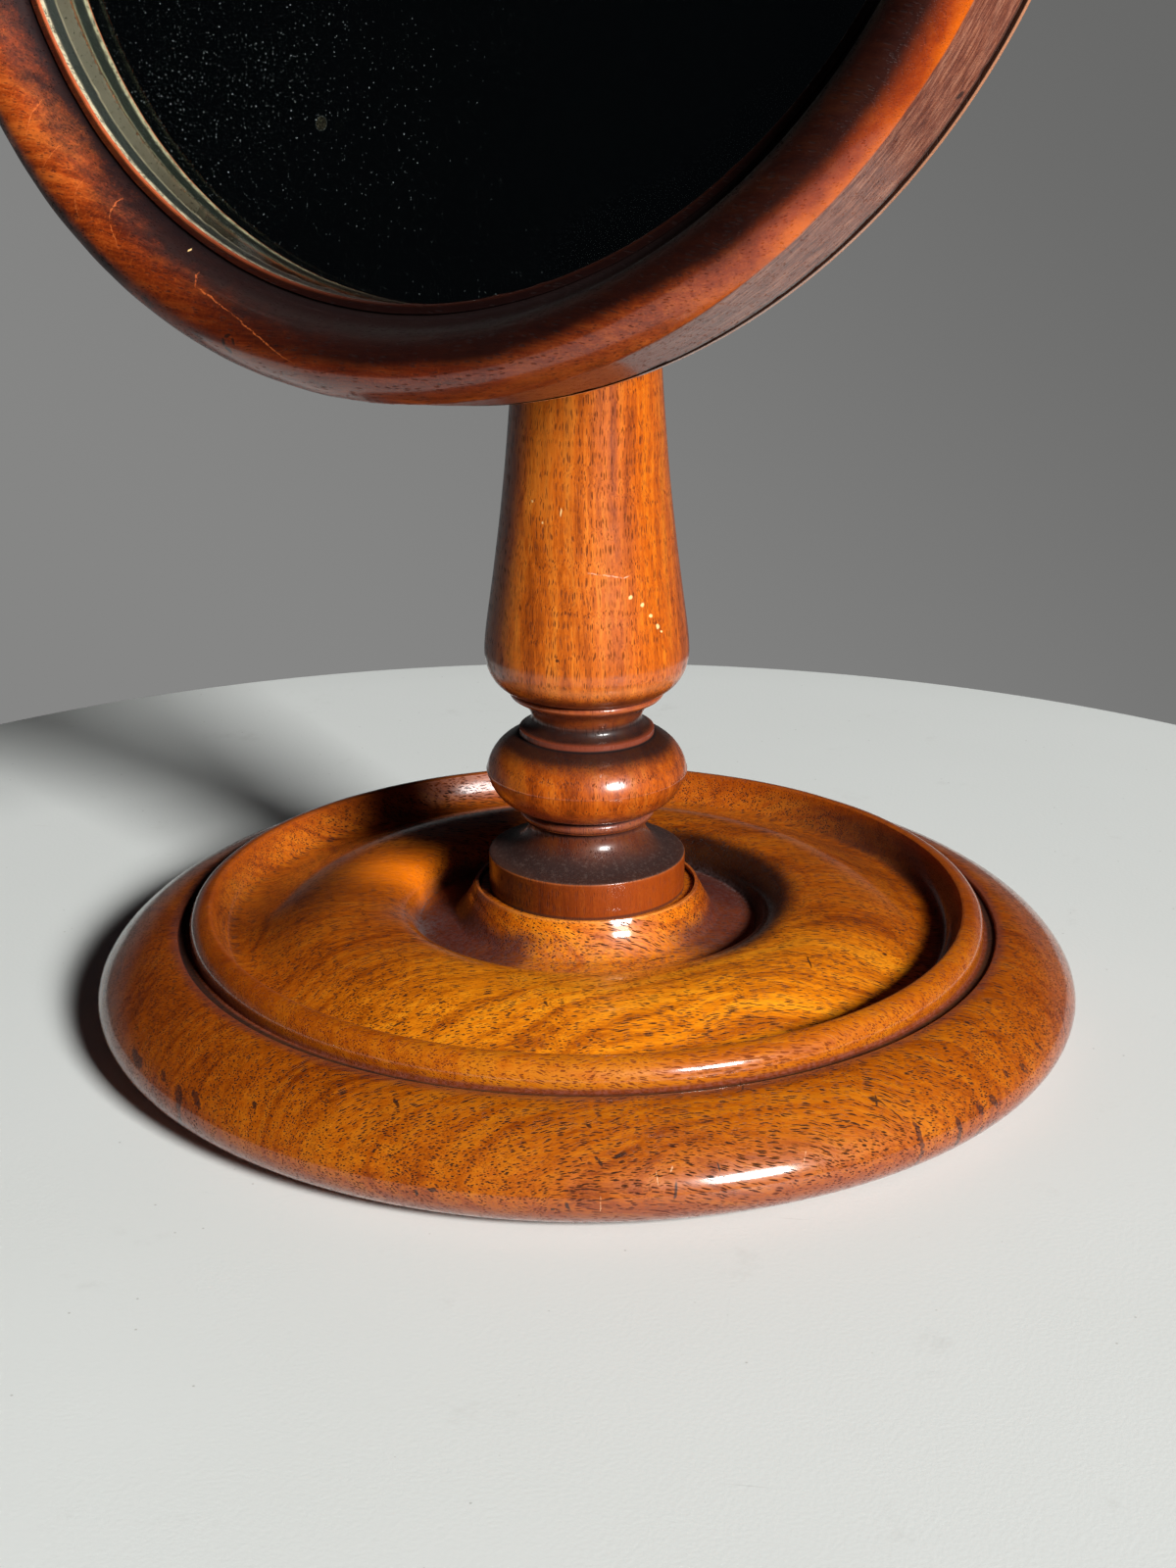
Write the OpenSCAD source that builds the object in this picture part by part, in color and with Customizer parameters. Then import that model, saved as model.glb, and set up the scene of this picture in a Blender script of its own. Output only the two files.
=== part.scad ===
// Turned wooden table mirror on a dished round base.
// The stand carries a brass post that turns in the column, and the mirror tilts on the post's tongue.
// Origin: middle of the underside. The mirror faces -Y and is tilted back a little at rest.

/* [Base] */
// Radius of the base at its widest
base_r = 125.4; // [120:0.1:132]
// Height of the widest place above the cloth
belly_h = 8.8; // [7:0.1:11]
// Radius of the flat underside
base_foot_r = 114; // [110:0.5:117]
// Height of the rounded border above the cloth
border_h = 23.8; // [21:0.1:26]
// Width of the rounded border's top, from the groove to the widest place
border_w = 20.8; // [18:0.1:23]
// Width of the groove between border and rim
groove_w = 2.9; // [1.5:0.1:4]
// Depth of that groove
groove_d = 1; // [0.5:0.1:2]
// Width of the raised rim
rim_w = 5.7; // [4:0.1:8]
// Height of the rim above the border's top
rim_rise = 6; // [4:0.1:8]
// Depth of the dish just inside the rim
dish_d = 8.3; // [5:0.1:9]
// Radius of the dish where it is deepest
dish_r = 90.5; // [88:0.1:92]
// Radius of the crown of the ring between dish and well
crown_r = 61; // [58:0.5:66]
// Drop from the rim's top to that crown
crown_drop = 0.3; // [0:0.1:2]
// Depth of the well below the crown
well_d = 7.3; // [5:0.1:9]
// Outer radius of the well's floor
well_r = 43; // [42:0.5:44]
// Radius of the boss at its top
boss_r = 28.5; // [27.5:0.1:30]
// Height of the boss above the rim's top
boss_rise = 2.9; // [2:0.1:5]
// Depth of the seat in the boss's top
seat_d = 1.2; // [0.6:0.1:2]
// Radius of the seat in the boss's top
seat_r = 27.8; // [26:0.1:28]

/* [Weight and cloth] */
// Thickness of the cloth under the base
cloth_t = 0.8; // [0.5:0.1:1.5]
// Radius of the cloth
cloth_r = 112; // [105:0.5:113]
// Radius of the iron weight
weight_r = 78; // [60:1:80]
// Thickness of the iron weight
weight_t = 6; // [4:0.1:7]
// Radius of the hole in the weight's middle
weight_hole_r = 14; // [12:0.5:18]
// Radius of the circle of weight screws
weight_screw_ring_r = 58; // [48:1:66]

/* [Column foot and knops] */
// Radius of the foot disc
foot_r = 25.1; // [24:0.1:26]
// Height of the foot disc
foot_h = 9.7; // [8:0.1:12]
// Height of the hollow above the foot disc
hollow_h = 9.7; // [7:0.1:12]
// Radius of the thin neck in that hollow
hollow_r = 14.6; // [12:0.1:15.5]
// Radius of the fillet under the knop
low_fillet_r = 17.2; // [16.5:0.1:18]
// Height of the fillet under the knop
low_fillet_h = 2.7; // [1:0.1:3.5]
// Radius of the knop at its widest
knop_r = 25.4; // [24:0.1:27]
// Height of the knop
knop_h = 19.4; // [17:0.1:21]
// Radius of the fillet above the knop
high_fillet_r = 17; // [16.5:0.1:18]
// Height of the fillet above the knop
high_fillet_h = 1.5; // [1:0.1:3]
// Height of the small neck above that fillet
small_neck_h = 8.2; // [5:0.1:9]
// Radius of the small neck
small_neck_r = 13.3; // [12:0.1:14]
// Radius of the ring under the baluster
lip_ring_r = 19.4; // [17.5:0.1:20]
// Height of the ring under the baluster
lip_ring_h = 1.9; // [1:0.1:3]

/* [Baluster and column top] */
// Radius of the baluster at its widest
baluster_r = 25.5; // [24:0.1:28]
// Height of the baluster's rounded bottom
baluster_round_h = 9.9; // [9:0.1:13]
// Height of the baluster's taper
taper_h = 119.5; // [100:0.5:140]
// Radius of the column where the taper ends
taper_end_r = 16.6; // [14:0.1:18]
// Height of the flare above the taper
flare_h = 13; // [8:0.5:18]
// Radius of the fillets beside the bead
bead_fillet_r = 19; // [18:0.1:20]
// Height of each of those fillets
bead_fillet_h = 1.6; // [1:0.1:3]
// Radius of the bead
bead_r = 21.8; // [21:0.1:24]
// Height of the bead
bead_h = 9; // [8:0.1:10]
// Height of the hollow above the bead
top_hollow_h = 13.8; // [10:0.1:18]
// Radius of that hollow
top_hollow_r = 16.8; // [15:0.1:17.5]
// Radius of the cap
cap_r = 21.4; // [20:0.1:24]
// Height of the cap
cap_h = 8.1; // [6:0.1:11]
// Radius of the flat on top of the column
cap_flat_r = 17; // [16.5:0.1:18]
// Radius of the column's tenon
tenon_r = 10.9; // [9:0.1:11.5]
// Length of the column's tenon
tenon_l = 19; // [15:0.1:20]

/* [Swivel] */
// Radius of the brass plate on the column
plate_r = 15.5; // [14:0.1:16]
// Thickness of that plate
plate_t = 2.5; // [2:0.1:4]
// Radius of the plate's collar
collar_r = 10; // [9:0.1:11]
// Height of the collar
collar_h = 8; // [7:0.1:10]
// Outer radius of the bush in the column
bush_r = 6; // [5.5:0.1:7]
// Length of the bush
bush_l = 38; // [30:0.5:42]
// Radius of the post's spindle
spindle_r = 4; // [3.5:0.1:4.5]
// Radius of the post's flange
flange_r = 12; // [10:0.1:13]
// Height of the post's flange
flange_h = 3; // [2:0.1:4]
// Radius of the post above its flange
post_r = 7; // [6:0.1:7.5]
// Height from the flange's top to the pivot
post_h = 23.5; // [20:0.1:30]
// Thickness of the post's tongue
tongue_t = 8; // [6:0.1:10]
// Radius of the round ends of tongue and ears
knuckle_r = 9; // [8:0.1:10]

/* [Mirror] */
// Radius of the opening in the frame
opening_r = 120.3; // [100:0.1:130]
// Distance from the pivot to the front edge of the opening
reach = 60; // [57:0.1:70]
// Backward tilt at rest, in degrees
rest_tilt = 9.2; // [0:0.1:15]
// Depth from the opening's front edge to the glass
lip_d = 6; // [4:0.1:8]
// Width of the flat fillet round the opening
lip_w = 2; // [1:0.1:3]
// Width of the frame's face
face_w = 20.7; // [18:0.1:26]
// Width of the frame's roll, from its crest to the outside
roll_w = 7.8; // [6:0.1:9]
// Height of the roll's crest above the opening's edge
roll_h = 11; // [8:0.1:13]
// Height of the roll's outer edge above the opening's edge
roll_edge_h = 3.5; // [1:0.1:5]
// Depth from the opening's edge to the frame's back
frame_d = 15; // [14:0.1:18]
// Width of the ledge that the glass bears on
ledge_w = 7.7; // [6:0.1:10]
// Thickness of the glass
glass_t = 5; // [3:0.1:5.5]
// Width of the space round the glass
glass_gap = 3.5; // [2.5:0.1:4]
// Thickness of the silvering
silver_t = 0.2; // [0.1:0.1:0.4]
// Thickness of the felt behind the glass
felt_t = 1.2; // [0.8:0.1:1.5]
// Number of blocks round the glass
block_count = 8; // [6:1:12]
// Length of each block
block_l = 14; // [10:1:18]

/* [Mirror back] */
// Width of the groove between frame and back board
back_groove_w = 1.6; // [1:0.1:2.5]
// Depth of that groove
back_groove_d = 1.8; // [1:0.1:2.5]
// Thickness of the back board's edge
board_edge_t = 2; // [2:0.1:4]
// Number of screws round the back board
board_screw_count = 6; // [4:1:10]
// Radius of the boss on the back board
back_boss_r = 27; // [25:0.1:27.5]
// Radius of the bracket's plate
bracket_r = 21; // [19:0.1:23]
// Thickness of the bracket's plate
bracket_t = 3; // [2.5:0.1:4]
// Distance from the bracket's plate to the pivot
ear_l = 21; // [19:0.1:24]
// Thickness of each ear
ear_t = 4; // [3:0.1:5]
// Half width of the ears at the plate
ear_root = 13; // [10:0.1:15]
// Thickness of the friction washers
washer_t = 0.8; // [0.5:0.1:1.2]
// Radius of the pivot bolt
bolt_r = 3; // [2.5:0.1:3.5]
// Radius of the bolt's head and of the thumb nut's hub
bolt_head_r = 5.5; // [5:0.1:7]
// Height of the bolt's head
bolt_head_h = 3.4; // [2.5:0.1:5]
// Length of the thumb nut's hub
nut_l = 8; // [6:0.1:10]
// Reach of the thumb nut's wings
wing_reach = 14; // [11:0.5:18]
// Thickness of the wings
wing_t = 2.4; // [2:0.1:3.5]

/* [Screws and fits] */
// Radius of the wood screws' shanks
screw_r = 1.6; // [1.2:0.1:1.8]
// Radius of the wood screws' heads
screw_head_r = 3.2; // [2.8:0.1:3.6]
// Length of the weight screws
weight_screw_l = 13; // [10:0.5:15]
// Length of the back board screws
board_screw_l = 11; // [8:0.5:12]
// Length of the bracket screws
bracket_screw_l = 11; // [8:0.5:12]
// Length of the screws that hold the boss
boss_screw_l = 14; // [12:0.5:15]
// Length of the plate screws
plate_screw_l = 12; // [8:0.5:15]
// Radius of the screw that holds the column
column_screw_r = 3; // [2.5:0.1:3.5]
// Length of the screw that holds the column
column_screw_l = 38; // [30:0.5:40]
// Radius of that screw's washer
column_washer_r = 9; // [7:0.1:11]
// Thickness of that washer
column_washer_t = 1.2; // [0.8:0.1:2]
// Clearance round shafts, screws and spigots
fit = 0.05; // [0.03:0.01:0.08]
// Clearance at the bottom of blind holes
end_gap = 0.4; // [0.2:0.1:1]

/* [Hidden] */
$fn = 96;

// Colours
mahogany = [0.56, 0.25, 0.08];
dark_mahogany = [0.38, 0.12, 0.05];
brass = [0.72, 0.55, 0.25];
iron = [0.25, 0.25, 0.26];
pine = [0.80, 0.65, 0.42];

// Small sizes that go with the turning
arris = 0.6;            // rounding of sharp turned edges
overlap = 1;            // how far a cut runs past a face
arc_steps = 8;          // chords in a short rounded stretch
curve_steps = 12;       // chords in a long curve
twist_eighth = 45;      // angle between a screw circle and its neighbour

// Levels of the base
base_z = cloth_t;
belly_z = base_z + belly_h;
border_z = base_z + border_h;
groove_z = border_z - groove_d;
border_r = base_r - border_w;
rim_side_r = border_r - groove_w;
rim_r = rim_side_r - rim_w;
rim_z = border_z + rim_rise;
dish_z = rim_z - dish_d;
crown_z = rim_z - crown_drop;
well_z = crown_z - well_d;
boss_z = rim_z + boss_rise;
foot_z = boss_z - seat_d;
recess_z = base_z + weight_t;
tenon_z = foot_z - tenon_l;

// Levels of the column
hollow_z = foot_z + foot_h;
low_fillet_z = hollow_z + hollow_h;
knop_z = low_fillet_z + low_fillet_h;
high_fillet_z = knop_z + knop_h;
small_neck_z = high_fillet_z + high_fillet_h;
lip_ring_z = small_neck_z + small_neck_h;
baluster_z = lip_ring_z + lip_ring_h;
taper_z = baluster_z + baluster_round_h;
flare_z = taper_z + taper_h;
bead_low_z = flare_z + flare_h;
bead_z = bead_low_z + bead_fillet_h;
bead_high_z = bead_z + bead_h;
top_hollow_z = bead_high_z + bead_fillet_h;
cap_z = top_hollow_z + top_hollow_h;
column_top_z = cap_z + cap_h;

// Levels of the swivel
collar_z = column_top_z + plate_t;
collar_top_z = collar_z + collar_h;
flange_top_z = collar_top_z + flange_h;
pivot_z = flange_top_z + post_h;
bush_z = collar_top_z - bush_l;
grub_z = collar_z + collar_h / 2;
grub_r = 1.5;
grub_neck_r = spindle_r - 0.8;  // the spindle's groove, which the grub screw runs in

// Heights in the mirror, measured forward from the pivot
frame_r = opening_r + face_w;
rabbet_r = opening_r + ledge_w;
glass_r = rabbet_r - glass_gap;
glass_z = reach - lip_d;
silver_z = glass_z - glass_t;
felt_z = silver_z - silver_t;
board_z = felt_z - felt_t;
frame_back_z = reach - frame_d;
board_back_z = frame_back_z - back_groove_w - board_edge_t;
bracket_z = ear_l + bracket_t;
spigot_r = rabbet_r - 0.3;
board_screw_ring_r = (rabbet_r + frame_r) / 2;
bracket_screw_ring_r = bracket_r - screw_head_r - 1.6;
boss_screw_ring_r = bracket_screw_ring_r;
plate_screw_ring_r = (plate_r + collar_r) / 2 + 0.1;
plate_screw_r = 1.1;
plate_screw_head_r = 2;

// Places along the pivot, measured from the middle of the tongue
ear_x = tongue_t / 2 + washer_t;
ear_out_x = ear_x + ear_t;
nut_x = ear_out_x + washer_t;

// Points on an oval arc round c with half widths s
function oval(c, s, from, to, steps = arc_steps) =
    [for (i = [0:steps]) let (a = from + (to - from) * i / steps) [c.x + s.x * cos(a), c.y + s.y * sin(a)]];

// Points on a curve from p to s with handles q and r, without its first point
function curve(p, q, r, s, steps = curve_steps) =
    [for (i = [1:steps]) let (t = i / steps, u = 1 - t)
        u * u * u * p + 3 * u * u * t * q + 3 * u * t * t * r + t * t * t * s];

// A screw with a countersunk head whose top lies at the origin, pointing down
module screw(r, l, head_r, grow = 0, slot = true) {
    head_h = head_r - r;
    tip_h = 2 * r;
    difference() {
        rotate_extrude()
            polygon([
                [0, grow], [head_r + grow, grow], [head_r + grow, -0.3], [r + grow, -0.3 - head_h],
                [r + grow, -l + tip_h], [0.2 * r + grow, -l - grow], [0, -l - grow]
            ]);
        if (slot)
            translate([-head_r - overlap, -0.25 * r, -0.4 * head_h])
                cube([2 * (head_r + overlap), 0.5 * r, head_h + overlap]);
    }
}

// Copies on a circle
module ring_of(count, ring_r, start = 0) {
    for (i = [0:count - 1])
        rotate([0, 0, start + i * 360 / count])
            translate([ring_r, 0, 0])
                children();
}

// Puts a piece drawn round the pivot, facing up, in its place on the mirror
module on_mirror() {
    translate([0, 0, pivot_z])
        rotate([90 - rest_tilt, 0, 0])
            children();
}

module tube(outer_r, inner_r, h) {
    difference() {
        cylinder(r = outer_r, h = h);
        translate([0, 0, -overlap])
            cylinder(r = inner_r, h = h + 2 * overlap);
    }
}

// The dished base, turned from one piece
function border_outline() = concat(
    [[base_foot_r, base_z]],
    curve([base_foot_r, base_z], [base_foot_r + 0.55 * (base_r - base_foot_r), base_z],
        [base_r, belly_z - 0.5 * belly_h], [base_r, belly_z]),
    curve([base_r, belly_z], [base_r, belly_z + 0.4 * (border_z - belly_z)],
        [border_r + 0.42 * border_w, border_z], [border_r + arris, border_z]),
    [[border_r, border_z - arris], [border_r, groove_z], [rim_side_r, groove_z]]
);

function rim_outline() = concat(
    oval([rim_r + arris, border_z + 0.2 * rim_rise], [rim_w - arris, 0.8 * rim_rise], 0, 90),
    [[rim_r, rim_z - 0.5 * arris]]
);

function dish_outline() = concat(
    curve([rim_r, rim_z - 0.5 * arris], [rim_r - 1.4, rim_z - 0.5 * dish_d],
        [dish_r + 2.6, dish_z], [dish_r, dish_z], arc_steps),
    curve([dish_r, dish_z], [dish_r - 0.26 * (dish_r - crown_r), dish_z],
        [crown_r + 0.48 * (dish_r - crown_r), crown_z], [crown_r, crown_z])
);

function well_outline() =
    let (brink = [well_r + 2, well_z + 0.27 * well_d],
        boss_foot = [boss_r + 6, well_z + 0.16 * (boss_z - well_z)])
    concat(
        curve([crown_r, crown_z], [crown_r - 7, crown_z], [brink.x + 2, crown_z], brink),
        curve(brink, brink - [0.6, 1.2], [well_r + 0.6, well_z], [well_r, well_z], arc_steps),
        curve([well_r, well_z], [well_r - 3, well_z + 0.6], boss_foot + [1.7, -0.34], boss_foot, arc_steps),
        curve(boss_foot, boss_foot + [-1.7, 0.34], [boss_r + 2.2, boss_z - 4.4], [boss_r, boss_z])
    );

module base_disc() {
    color(mahogany)
    difference() {
        rotate_extrude($fn = 144)
            polygon(concat(
                [[weight_r + fit, base_z]],
                border_outline(), rim_outline(), dish_outline(), well_outline(),
                [
                    [seat_r, boss_z], [seat_r, foot_z], [tenon_r + fit, foot_z],
                    [tenon_r + fit, tenon_z - end_gap], [column_screw_r + fit, tenon_z - end_gap],
                    [column_screw_r + fit, recess_z], [weight_r + fit, recess_z]
                ]
            ));
        weight_screw_places()
            screw(screw_r, weight_screw_l, screw_head_r, fit, false);
    }
}

module weight_screw_places() {
    ring_of(3, weight_screw_ring_r)
        translate([0, 0, base_z])
            rotate([180, 0, 0])
                children();
}

module base_weight() {
    color(iron)
    difference() {
        translate([0, 0, base_z])
            tube(weight_r, weight_hole_r, weight_t);
        weight_screw_places()
            screw(screw_r, weight_screw_l, screw_head_r, fit, false);
    }
}

module weight_screws() {
    color(iron)
    weight_screw_places()
        screw(screw_r, weight_screw_l, screw_head_r);
}

module baize_pad() {
    color([0.12, 0.27, 0.16])
    cylinder(r = cloth_r, h = cloth_t, $fn = 144);
}

// The turned column, from its tenon to its cap
function foot_outline() = concat(
    [
        [tenon_r, tenon_z], [tenon_r, foot_z], [foot_r, foot_z],
        [foot_r, hollow_z - arris], [foot_r - arris, hollow_z]
    ],
    curve([foot_r - arris, hollow_z], [hollow_r + 3.4, hollow_z + 0.1 * hollow_h],
        [hollow_r, hollow_z + 0.45 * hollow_h], [hollow_r, low_fillet_z - 0.1 * hollow_h]),
    [[low_fillet_r - arris, low_fillet_z]]
);

// The knop's side is two arcs that meet in a faint ridge round its middle
function knop_outline() =
    let (middle = (knop_z + high_fillet_z) / 2, ball_r = 0.59 * knop_h, rise = 0.085 * knop_h,
        ridge = asin(rise / ball_r), ball_x = knop_r - ball_r * cos(ridge),
        low_end = acos((low_fillet_r - ball_x) / ball_r), high_end = acos((high_fillet_r - ball_x) / ball_r))
    concat(
        oval([low_fillet_r - low_fillet_h / 2, low_fillet_z + low_fillet_h / 2],
            [low_fillet_h / 2, low_fillet_h / 2], -70, 60, 4),
        oval([ball_x, middle + rise], [ball_r, ball_r], -low_end, -ridge, curve_steps),
        oval([ball_x, middle - rise], [ball_r, ball_r], ridge + 4, high_end, curve_steps),
        [[high_fillet_r, high_fillet_z + 0.2 * high_fillet_h], [high_fillet_r, small_neck_z - 0.2 * high_fillet_h]]
    );

function small_neck_outline() = concat(
    [[high_fillet_r - 0.4, small_neck_z]],
    curve([high_fillet_r - 0.4, small_neck_z], [small_neck_r, small_neck_z + 0.1 * small_neck_h],
        [small_neck_r - 1, small_neck_z + 0.6 * small_neck_h], [lip_ring_r - arris, lip_ring_z], arc_steps),
    oval([lip_ring_r - lip_ring_h / 2, lip_ring_z + lip_ring_h / 2],
        [lip_ring_h / 2, lip_ring_h / 2], -60, 60, 4)
);

function baluster_outline() =
    let (round_w = 7.5, start = -acos((lip_ring_r + 0.5 - baluster_r + round_w) / round_w))
    concat(
        [[lip_ring_r - 0.3, baluster_z]],
        oval([baluster_r - round_w, taper_z], [round_w, baluster_round_h], start, 0),
        curve([baluster_r, taper_z], [baluster_r, taper_z + 0.088 * taper_h],
            [taper_end_r + 0.2, taper_z + 0.372 * taper_h], [taper_end_r, flare_z], 2 * curve_steps)
    );

function column_top_outline() = concat(
    curve([taper_end_r, flare_z], [taper_end_r, flare_z + 0.5 * flare_h],
        [bead_fillet_r - 1.6, bead_low_z - 0.3 * flare_h], [bead_fillet_r - 1, bead_low_z], arc_steps),
    [[bead_fillet_r, bead_low_z], [bead_fillet_r, bead_z]],
    oval([bead_r - bead_h / 2, bead_z + bead_h / 2], [bead_h / 2, bead_h / 2], -65, 65, curve_steps),
    [[bead_fillet_r, bead_high_z], [bead_fillet_r, top_hollow_z]],
    curve([bead_fillet_r, top_hollow_z], [top_hollow_r - 0.6, top_hollow_z + 0.25 * top_hollow_h],
        [top_hollow_r - 0.6, top_hollow_z + 0.6 * top_hollow_h], [cap_r - 1, cap_z]),
    [[cap_r, cap_z], [cap_r, cap_z + 0.3 * cap_h]],
    curve([cap_r, cap_z + 0.3 * cap_h], [cap_r - 0.2, cap_z + 0.75 * cap_h],
        [cap_flat_r + 2, column_top_z], [cap_flat_r, column_top_z], arc_steps)
);

module column() {
    column_bore_z = bush_z - end_gap;
    color(mahogany)
    difference() {
        rotate_extrude()
            polygon(concat(
                [[0, tenon_z]],
                foot_outline(), knop_outline(), small_neck_outline(), baluster_outline(), column_top_outline(),
                [[0, column_top_z]]
            ));
        translate([0, 0, column_bore_z])
            cylinder(r = bush_r + fit, h = column_top_z - column_bore_z + overlap);
        column_screw_solid(fit);
        plate_screw_places()
            screw(plate_screw_r, plate_screw_l, plate_screw_head_r, fit, false);
    }
}

// The screw from below that draws the column into the base
module column_screw_solid(grow = 0) {
    translate([0, 0, recess_z - column_washer_t])
        cylinder(r = column_screw_r + grow, h = column_screw_l + grow);
}

module column_screw() {
    head_r = 2 * column_screw_r;
    head_h = min(column_screw_r, weight_t - column_washer_t);
    color(iron)
    difference() {
        union() {
            column_screw_solid();
            translate([0, 0, recess_z - column_washer_t - head_h])
                cylinder(r = head_r, h = head_h);
        }
        translate([-head_r - overlap, -0.2 * head_r, recess_z - column_washer_t - head_h - overlap])
            cube([2 * (head_r + overlap), 0.4 * head_r, 0.4 * head_h + overlap]);
    }
}

module screw_washer() {
    color(iron)
    translate([0, 0, recess_z - column_washer_t])
        tube(column_washer_r, column_screw_r + fit, column_washer_t);
}

// The brass plate on the column, with the collar that guides the post
module plate_screw_places() {
    ring_of(3, plate_screw_ring_r, twist_eighth)
        translate([0, 0, collar_z])
            children();
}

module grub_screw_solid(grow = 0) {
    translate([0, grub_neck_r + 2 * fit - grow, grub_z])
        rotate([-90, 0, 0])
            cylinder(r = grub_r + grow, h = collar_r - grub_neck_r + grow);
}

module top_plate() {
    color(brass)
    difference() {
        union() {
            translate([0, 0, column_top_z])
                cylinder(r = plate_r, h = plate_t);
            translate([0, 0, collar_z])
                cylinder(r = collar_r, h = collar_h);
        }
        translate([0, 0, column_top_z - overlap])
            cylinder(r = bush_r + fit, h = plate_t + collar_h + 2 * overlap);
        plate_screw_places()
            screw(plate_screw_r, plate_screw_l, plate_screw_head_r, fit, false);
        grub_screw_solid(fit);
    }
}

module plate_screws() {
    color(brass)
    plate_screw_places()
        screw(plate_screw_r, plate_screw_l, plate_screw_head_r);
}

module swivel_bush() {
    color(brass)
    difference() {
        translate([0, 0, bush_z])
            tube(bush_r, spindle_r + fit, bush_l);
        grub_screw_solid(fit);
    }
}

module grub_screw() {
    slot_w = 0.6;
    color(iron)
    difference() {
        grub_screw_solid();
        translate([-grub_r - overlap, collar_r - slot_w, grub_z - slot_w / 2])
            cube([2 * (grub_r + overlap), 2 * slot_w, slot_w]);
    }
}

// The post that turns in the bush and ends in a flat tongue
module swivel_post() {
    spindle_z = bush_z + end_gap;
    tongue_z = flange_top_z + 0.35 * post_h;
    color(brass)
    difference() {
        union() {
            rotate_extrude()
                polygon([
                    [0, spindle_z], [spindle_r - arris, spindle_z], [spindle_r, spindle_z + arris],
                    [spindle_r, grub_z - grub_r - 2 * fit], [grub_neck_r, grub_z - grub_r - 2 * fit],
                    [grub_neck_r, grub_z + grub_r + 2 * fit], [spindle_r, grub_z + grub_r + 2 * fit],
                    [spindle_r, collar_top_z], [flange_r - arris, collar_top_z], [flange_r, collar_top_z + arris],
                    [flange_r, flange_top_z - arris], [flange_r - arris, flange_top_z],
                    [post_r, flange_top_z], [post_r, tongue_z], [0, tongue_z]
                ]);
            translate([-tongue_t / 2, -post_r, tongue_z - overlap])
                cube([tongue_t, 2 * post_r, pivot_z - tongue_z + overlap]);
            translate([-tongue_t / 2, 0, pivot_z])
                rotate([0, 90, 0])
                    cylinder(r = knuckle_r, h = tongue_t);
        }
        translate([-tongue_t / 2 - overlap, 0, pivot_z])
            rotate([0, 90, 0])
                cylinder(r = bolt_r + fit, h = tongue_t + 2 * overlap);
    }
}

// The mirror's frame: lip, hollow, roll, side and the rabbet behind
function face_outline() =
    let (crest_r = frame_r - roll_w, a = roll_w + 1.6,
        share = sqrt(1 - (roll_w / a) * (roll_w / a)),
        roll_z = (roll_edge_h - share * roll_h) / (1 - share),
        b = roll_h - roll_z,
        inner_w = 7.4, inner_a = 139,
        join = [crest_r + inner_w * cos(inner_a), roll_h - inner_w + inner_w * sin(inner_a)],
        lip_out_r = opening_r + lip_w)
    concat(
        [[opening_r, 0], [lip_out_r, 0], [lip_out_r + 0.1, -0.4]],
        curve([lip_out_r + 0.1, -0.4], [join.x - 1.6, -0.6], [join.x - 2.3, join.y - 2.6], join),
        [for (p = oval([crest_r, roll_h - inner_w], [inner_w, inner_w], inner_a, 90)) if (p.x > join.x + 0.01) p],
        [for (p = oval([crest_r, roll_z], [a, b], 90, acos(roll_w / a))) if (p.x > crest_r + 0.01) p]
    );

module mirror_frame() {
    color(dark_mahogany)
    on_mirror()
        difference() {
            translate([0, 0, reach])
                rotate_extrude($fn = 144)
                    polygon(concat(
                        [[rabbet_r, -lip_d], [opening_r, -lip_d]],
                        face_outline(),
                        [[frame_r, -frame_d], [rabbet_r, -frame_d]]
                    ));
            board_screw_places()
                screw(screw_r, board_screw_l, screw_head_r, fit, false);
        }
}

module mirror_glass() {
    color([0.55, 0.62, 0.60])
    on_mirror()
        translate([0, 0, silver_z])
            cylinder(r = glass_r, h = glass_t, $fn = 144);
}

module silvering() {
    color([0.10, 0.10, 0.11])
    on_mirror()
        translate([0, 0, felt_z])
            cylinder(r = glass_r, h = silver_t, $fn = 144);
}

module glass_felt() {
    color([0.35, 0.33, 0.30])
    on_mirror()
        translate([0, 0, board_z])
            cylinder(r = glass_r, h = felt_t, $fn = 144);
}

module glass_blocks() {
    color(pine)
    on_mirror()
        translate([0, 0, silver_z])
            intersection() {
                tube(rabbet_r - 2 * fit, glass_r + 2 * fit, glass_t);
                ring_of(block_count, glass_r + glass_gap / 2, twist_eighth / 2)
                    translate([-glass_gap, -block_l / 2, 0])
                        cube([2 * glass_gap, block_l, glass_t]);
            }
}

// The turned board that closes the mirror's back
module board_screw_places() {
    ring_of(board_screw_count, board_screw_ring_r)
        translate([0, 0, board_back_z])
            rotate([180, 0, 0])
                children();
}

module boss_screw_places() {
    ring_of(3, boss_screw_ring_r, 2 * twist_eighth)
        translate([0, 0, board_z])
            children();
}

module bracket_screw_places() {
    ring_of(4, bracket_screw_ring_r, twist_eighth)
        translate([0, 0, ear_l])
            rotate([180, 0, 0])
                children();
}

module back_board() {
    groove_back_z = frame_back_z - back_groove_w;
    color(dark_mahogany)
    on_mirror()
        difference() {
            rotate_extrude($fn = 144)
                polygon([
                    [0, board_z], [spigot_r, board_z], [spigot_r, frame_back_z],
                    [frame_r - back_groove_d, frame_back_z], [frame_r - back_groove_d, groove_back_z],
                    [frame_r, groove_back_z], [frame_r, board_back_z + arris], [frame_r - arris, board_back_z],
                    [0, board_back_z]
                ]);
            board_screw_places()
                screw(screw_r, board_screw_l, screw_head_r, fit, false);
            boss_screw_places()
                screw(screw_r, boss_screw_l, screw_head_r, fit, false);
        }
}

module back_board_screws() {
    color(brass)
    on_mirror()
        board_screw_places()
            screw(screw_r, board_screw_l, screw_head_r);
}

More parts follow.
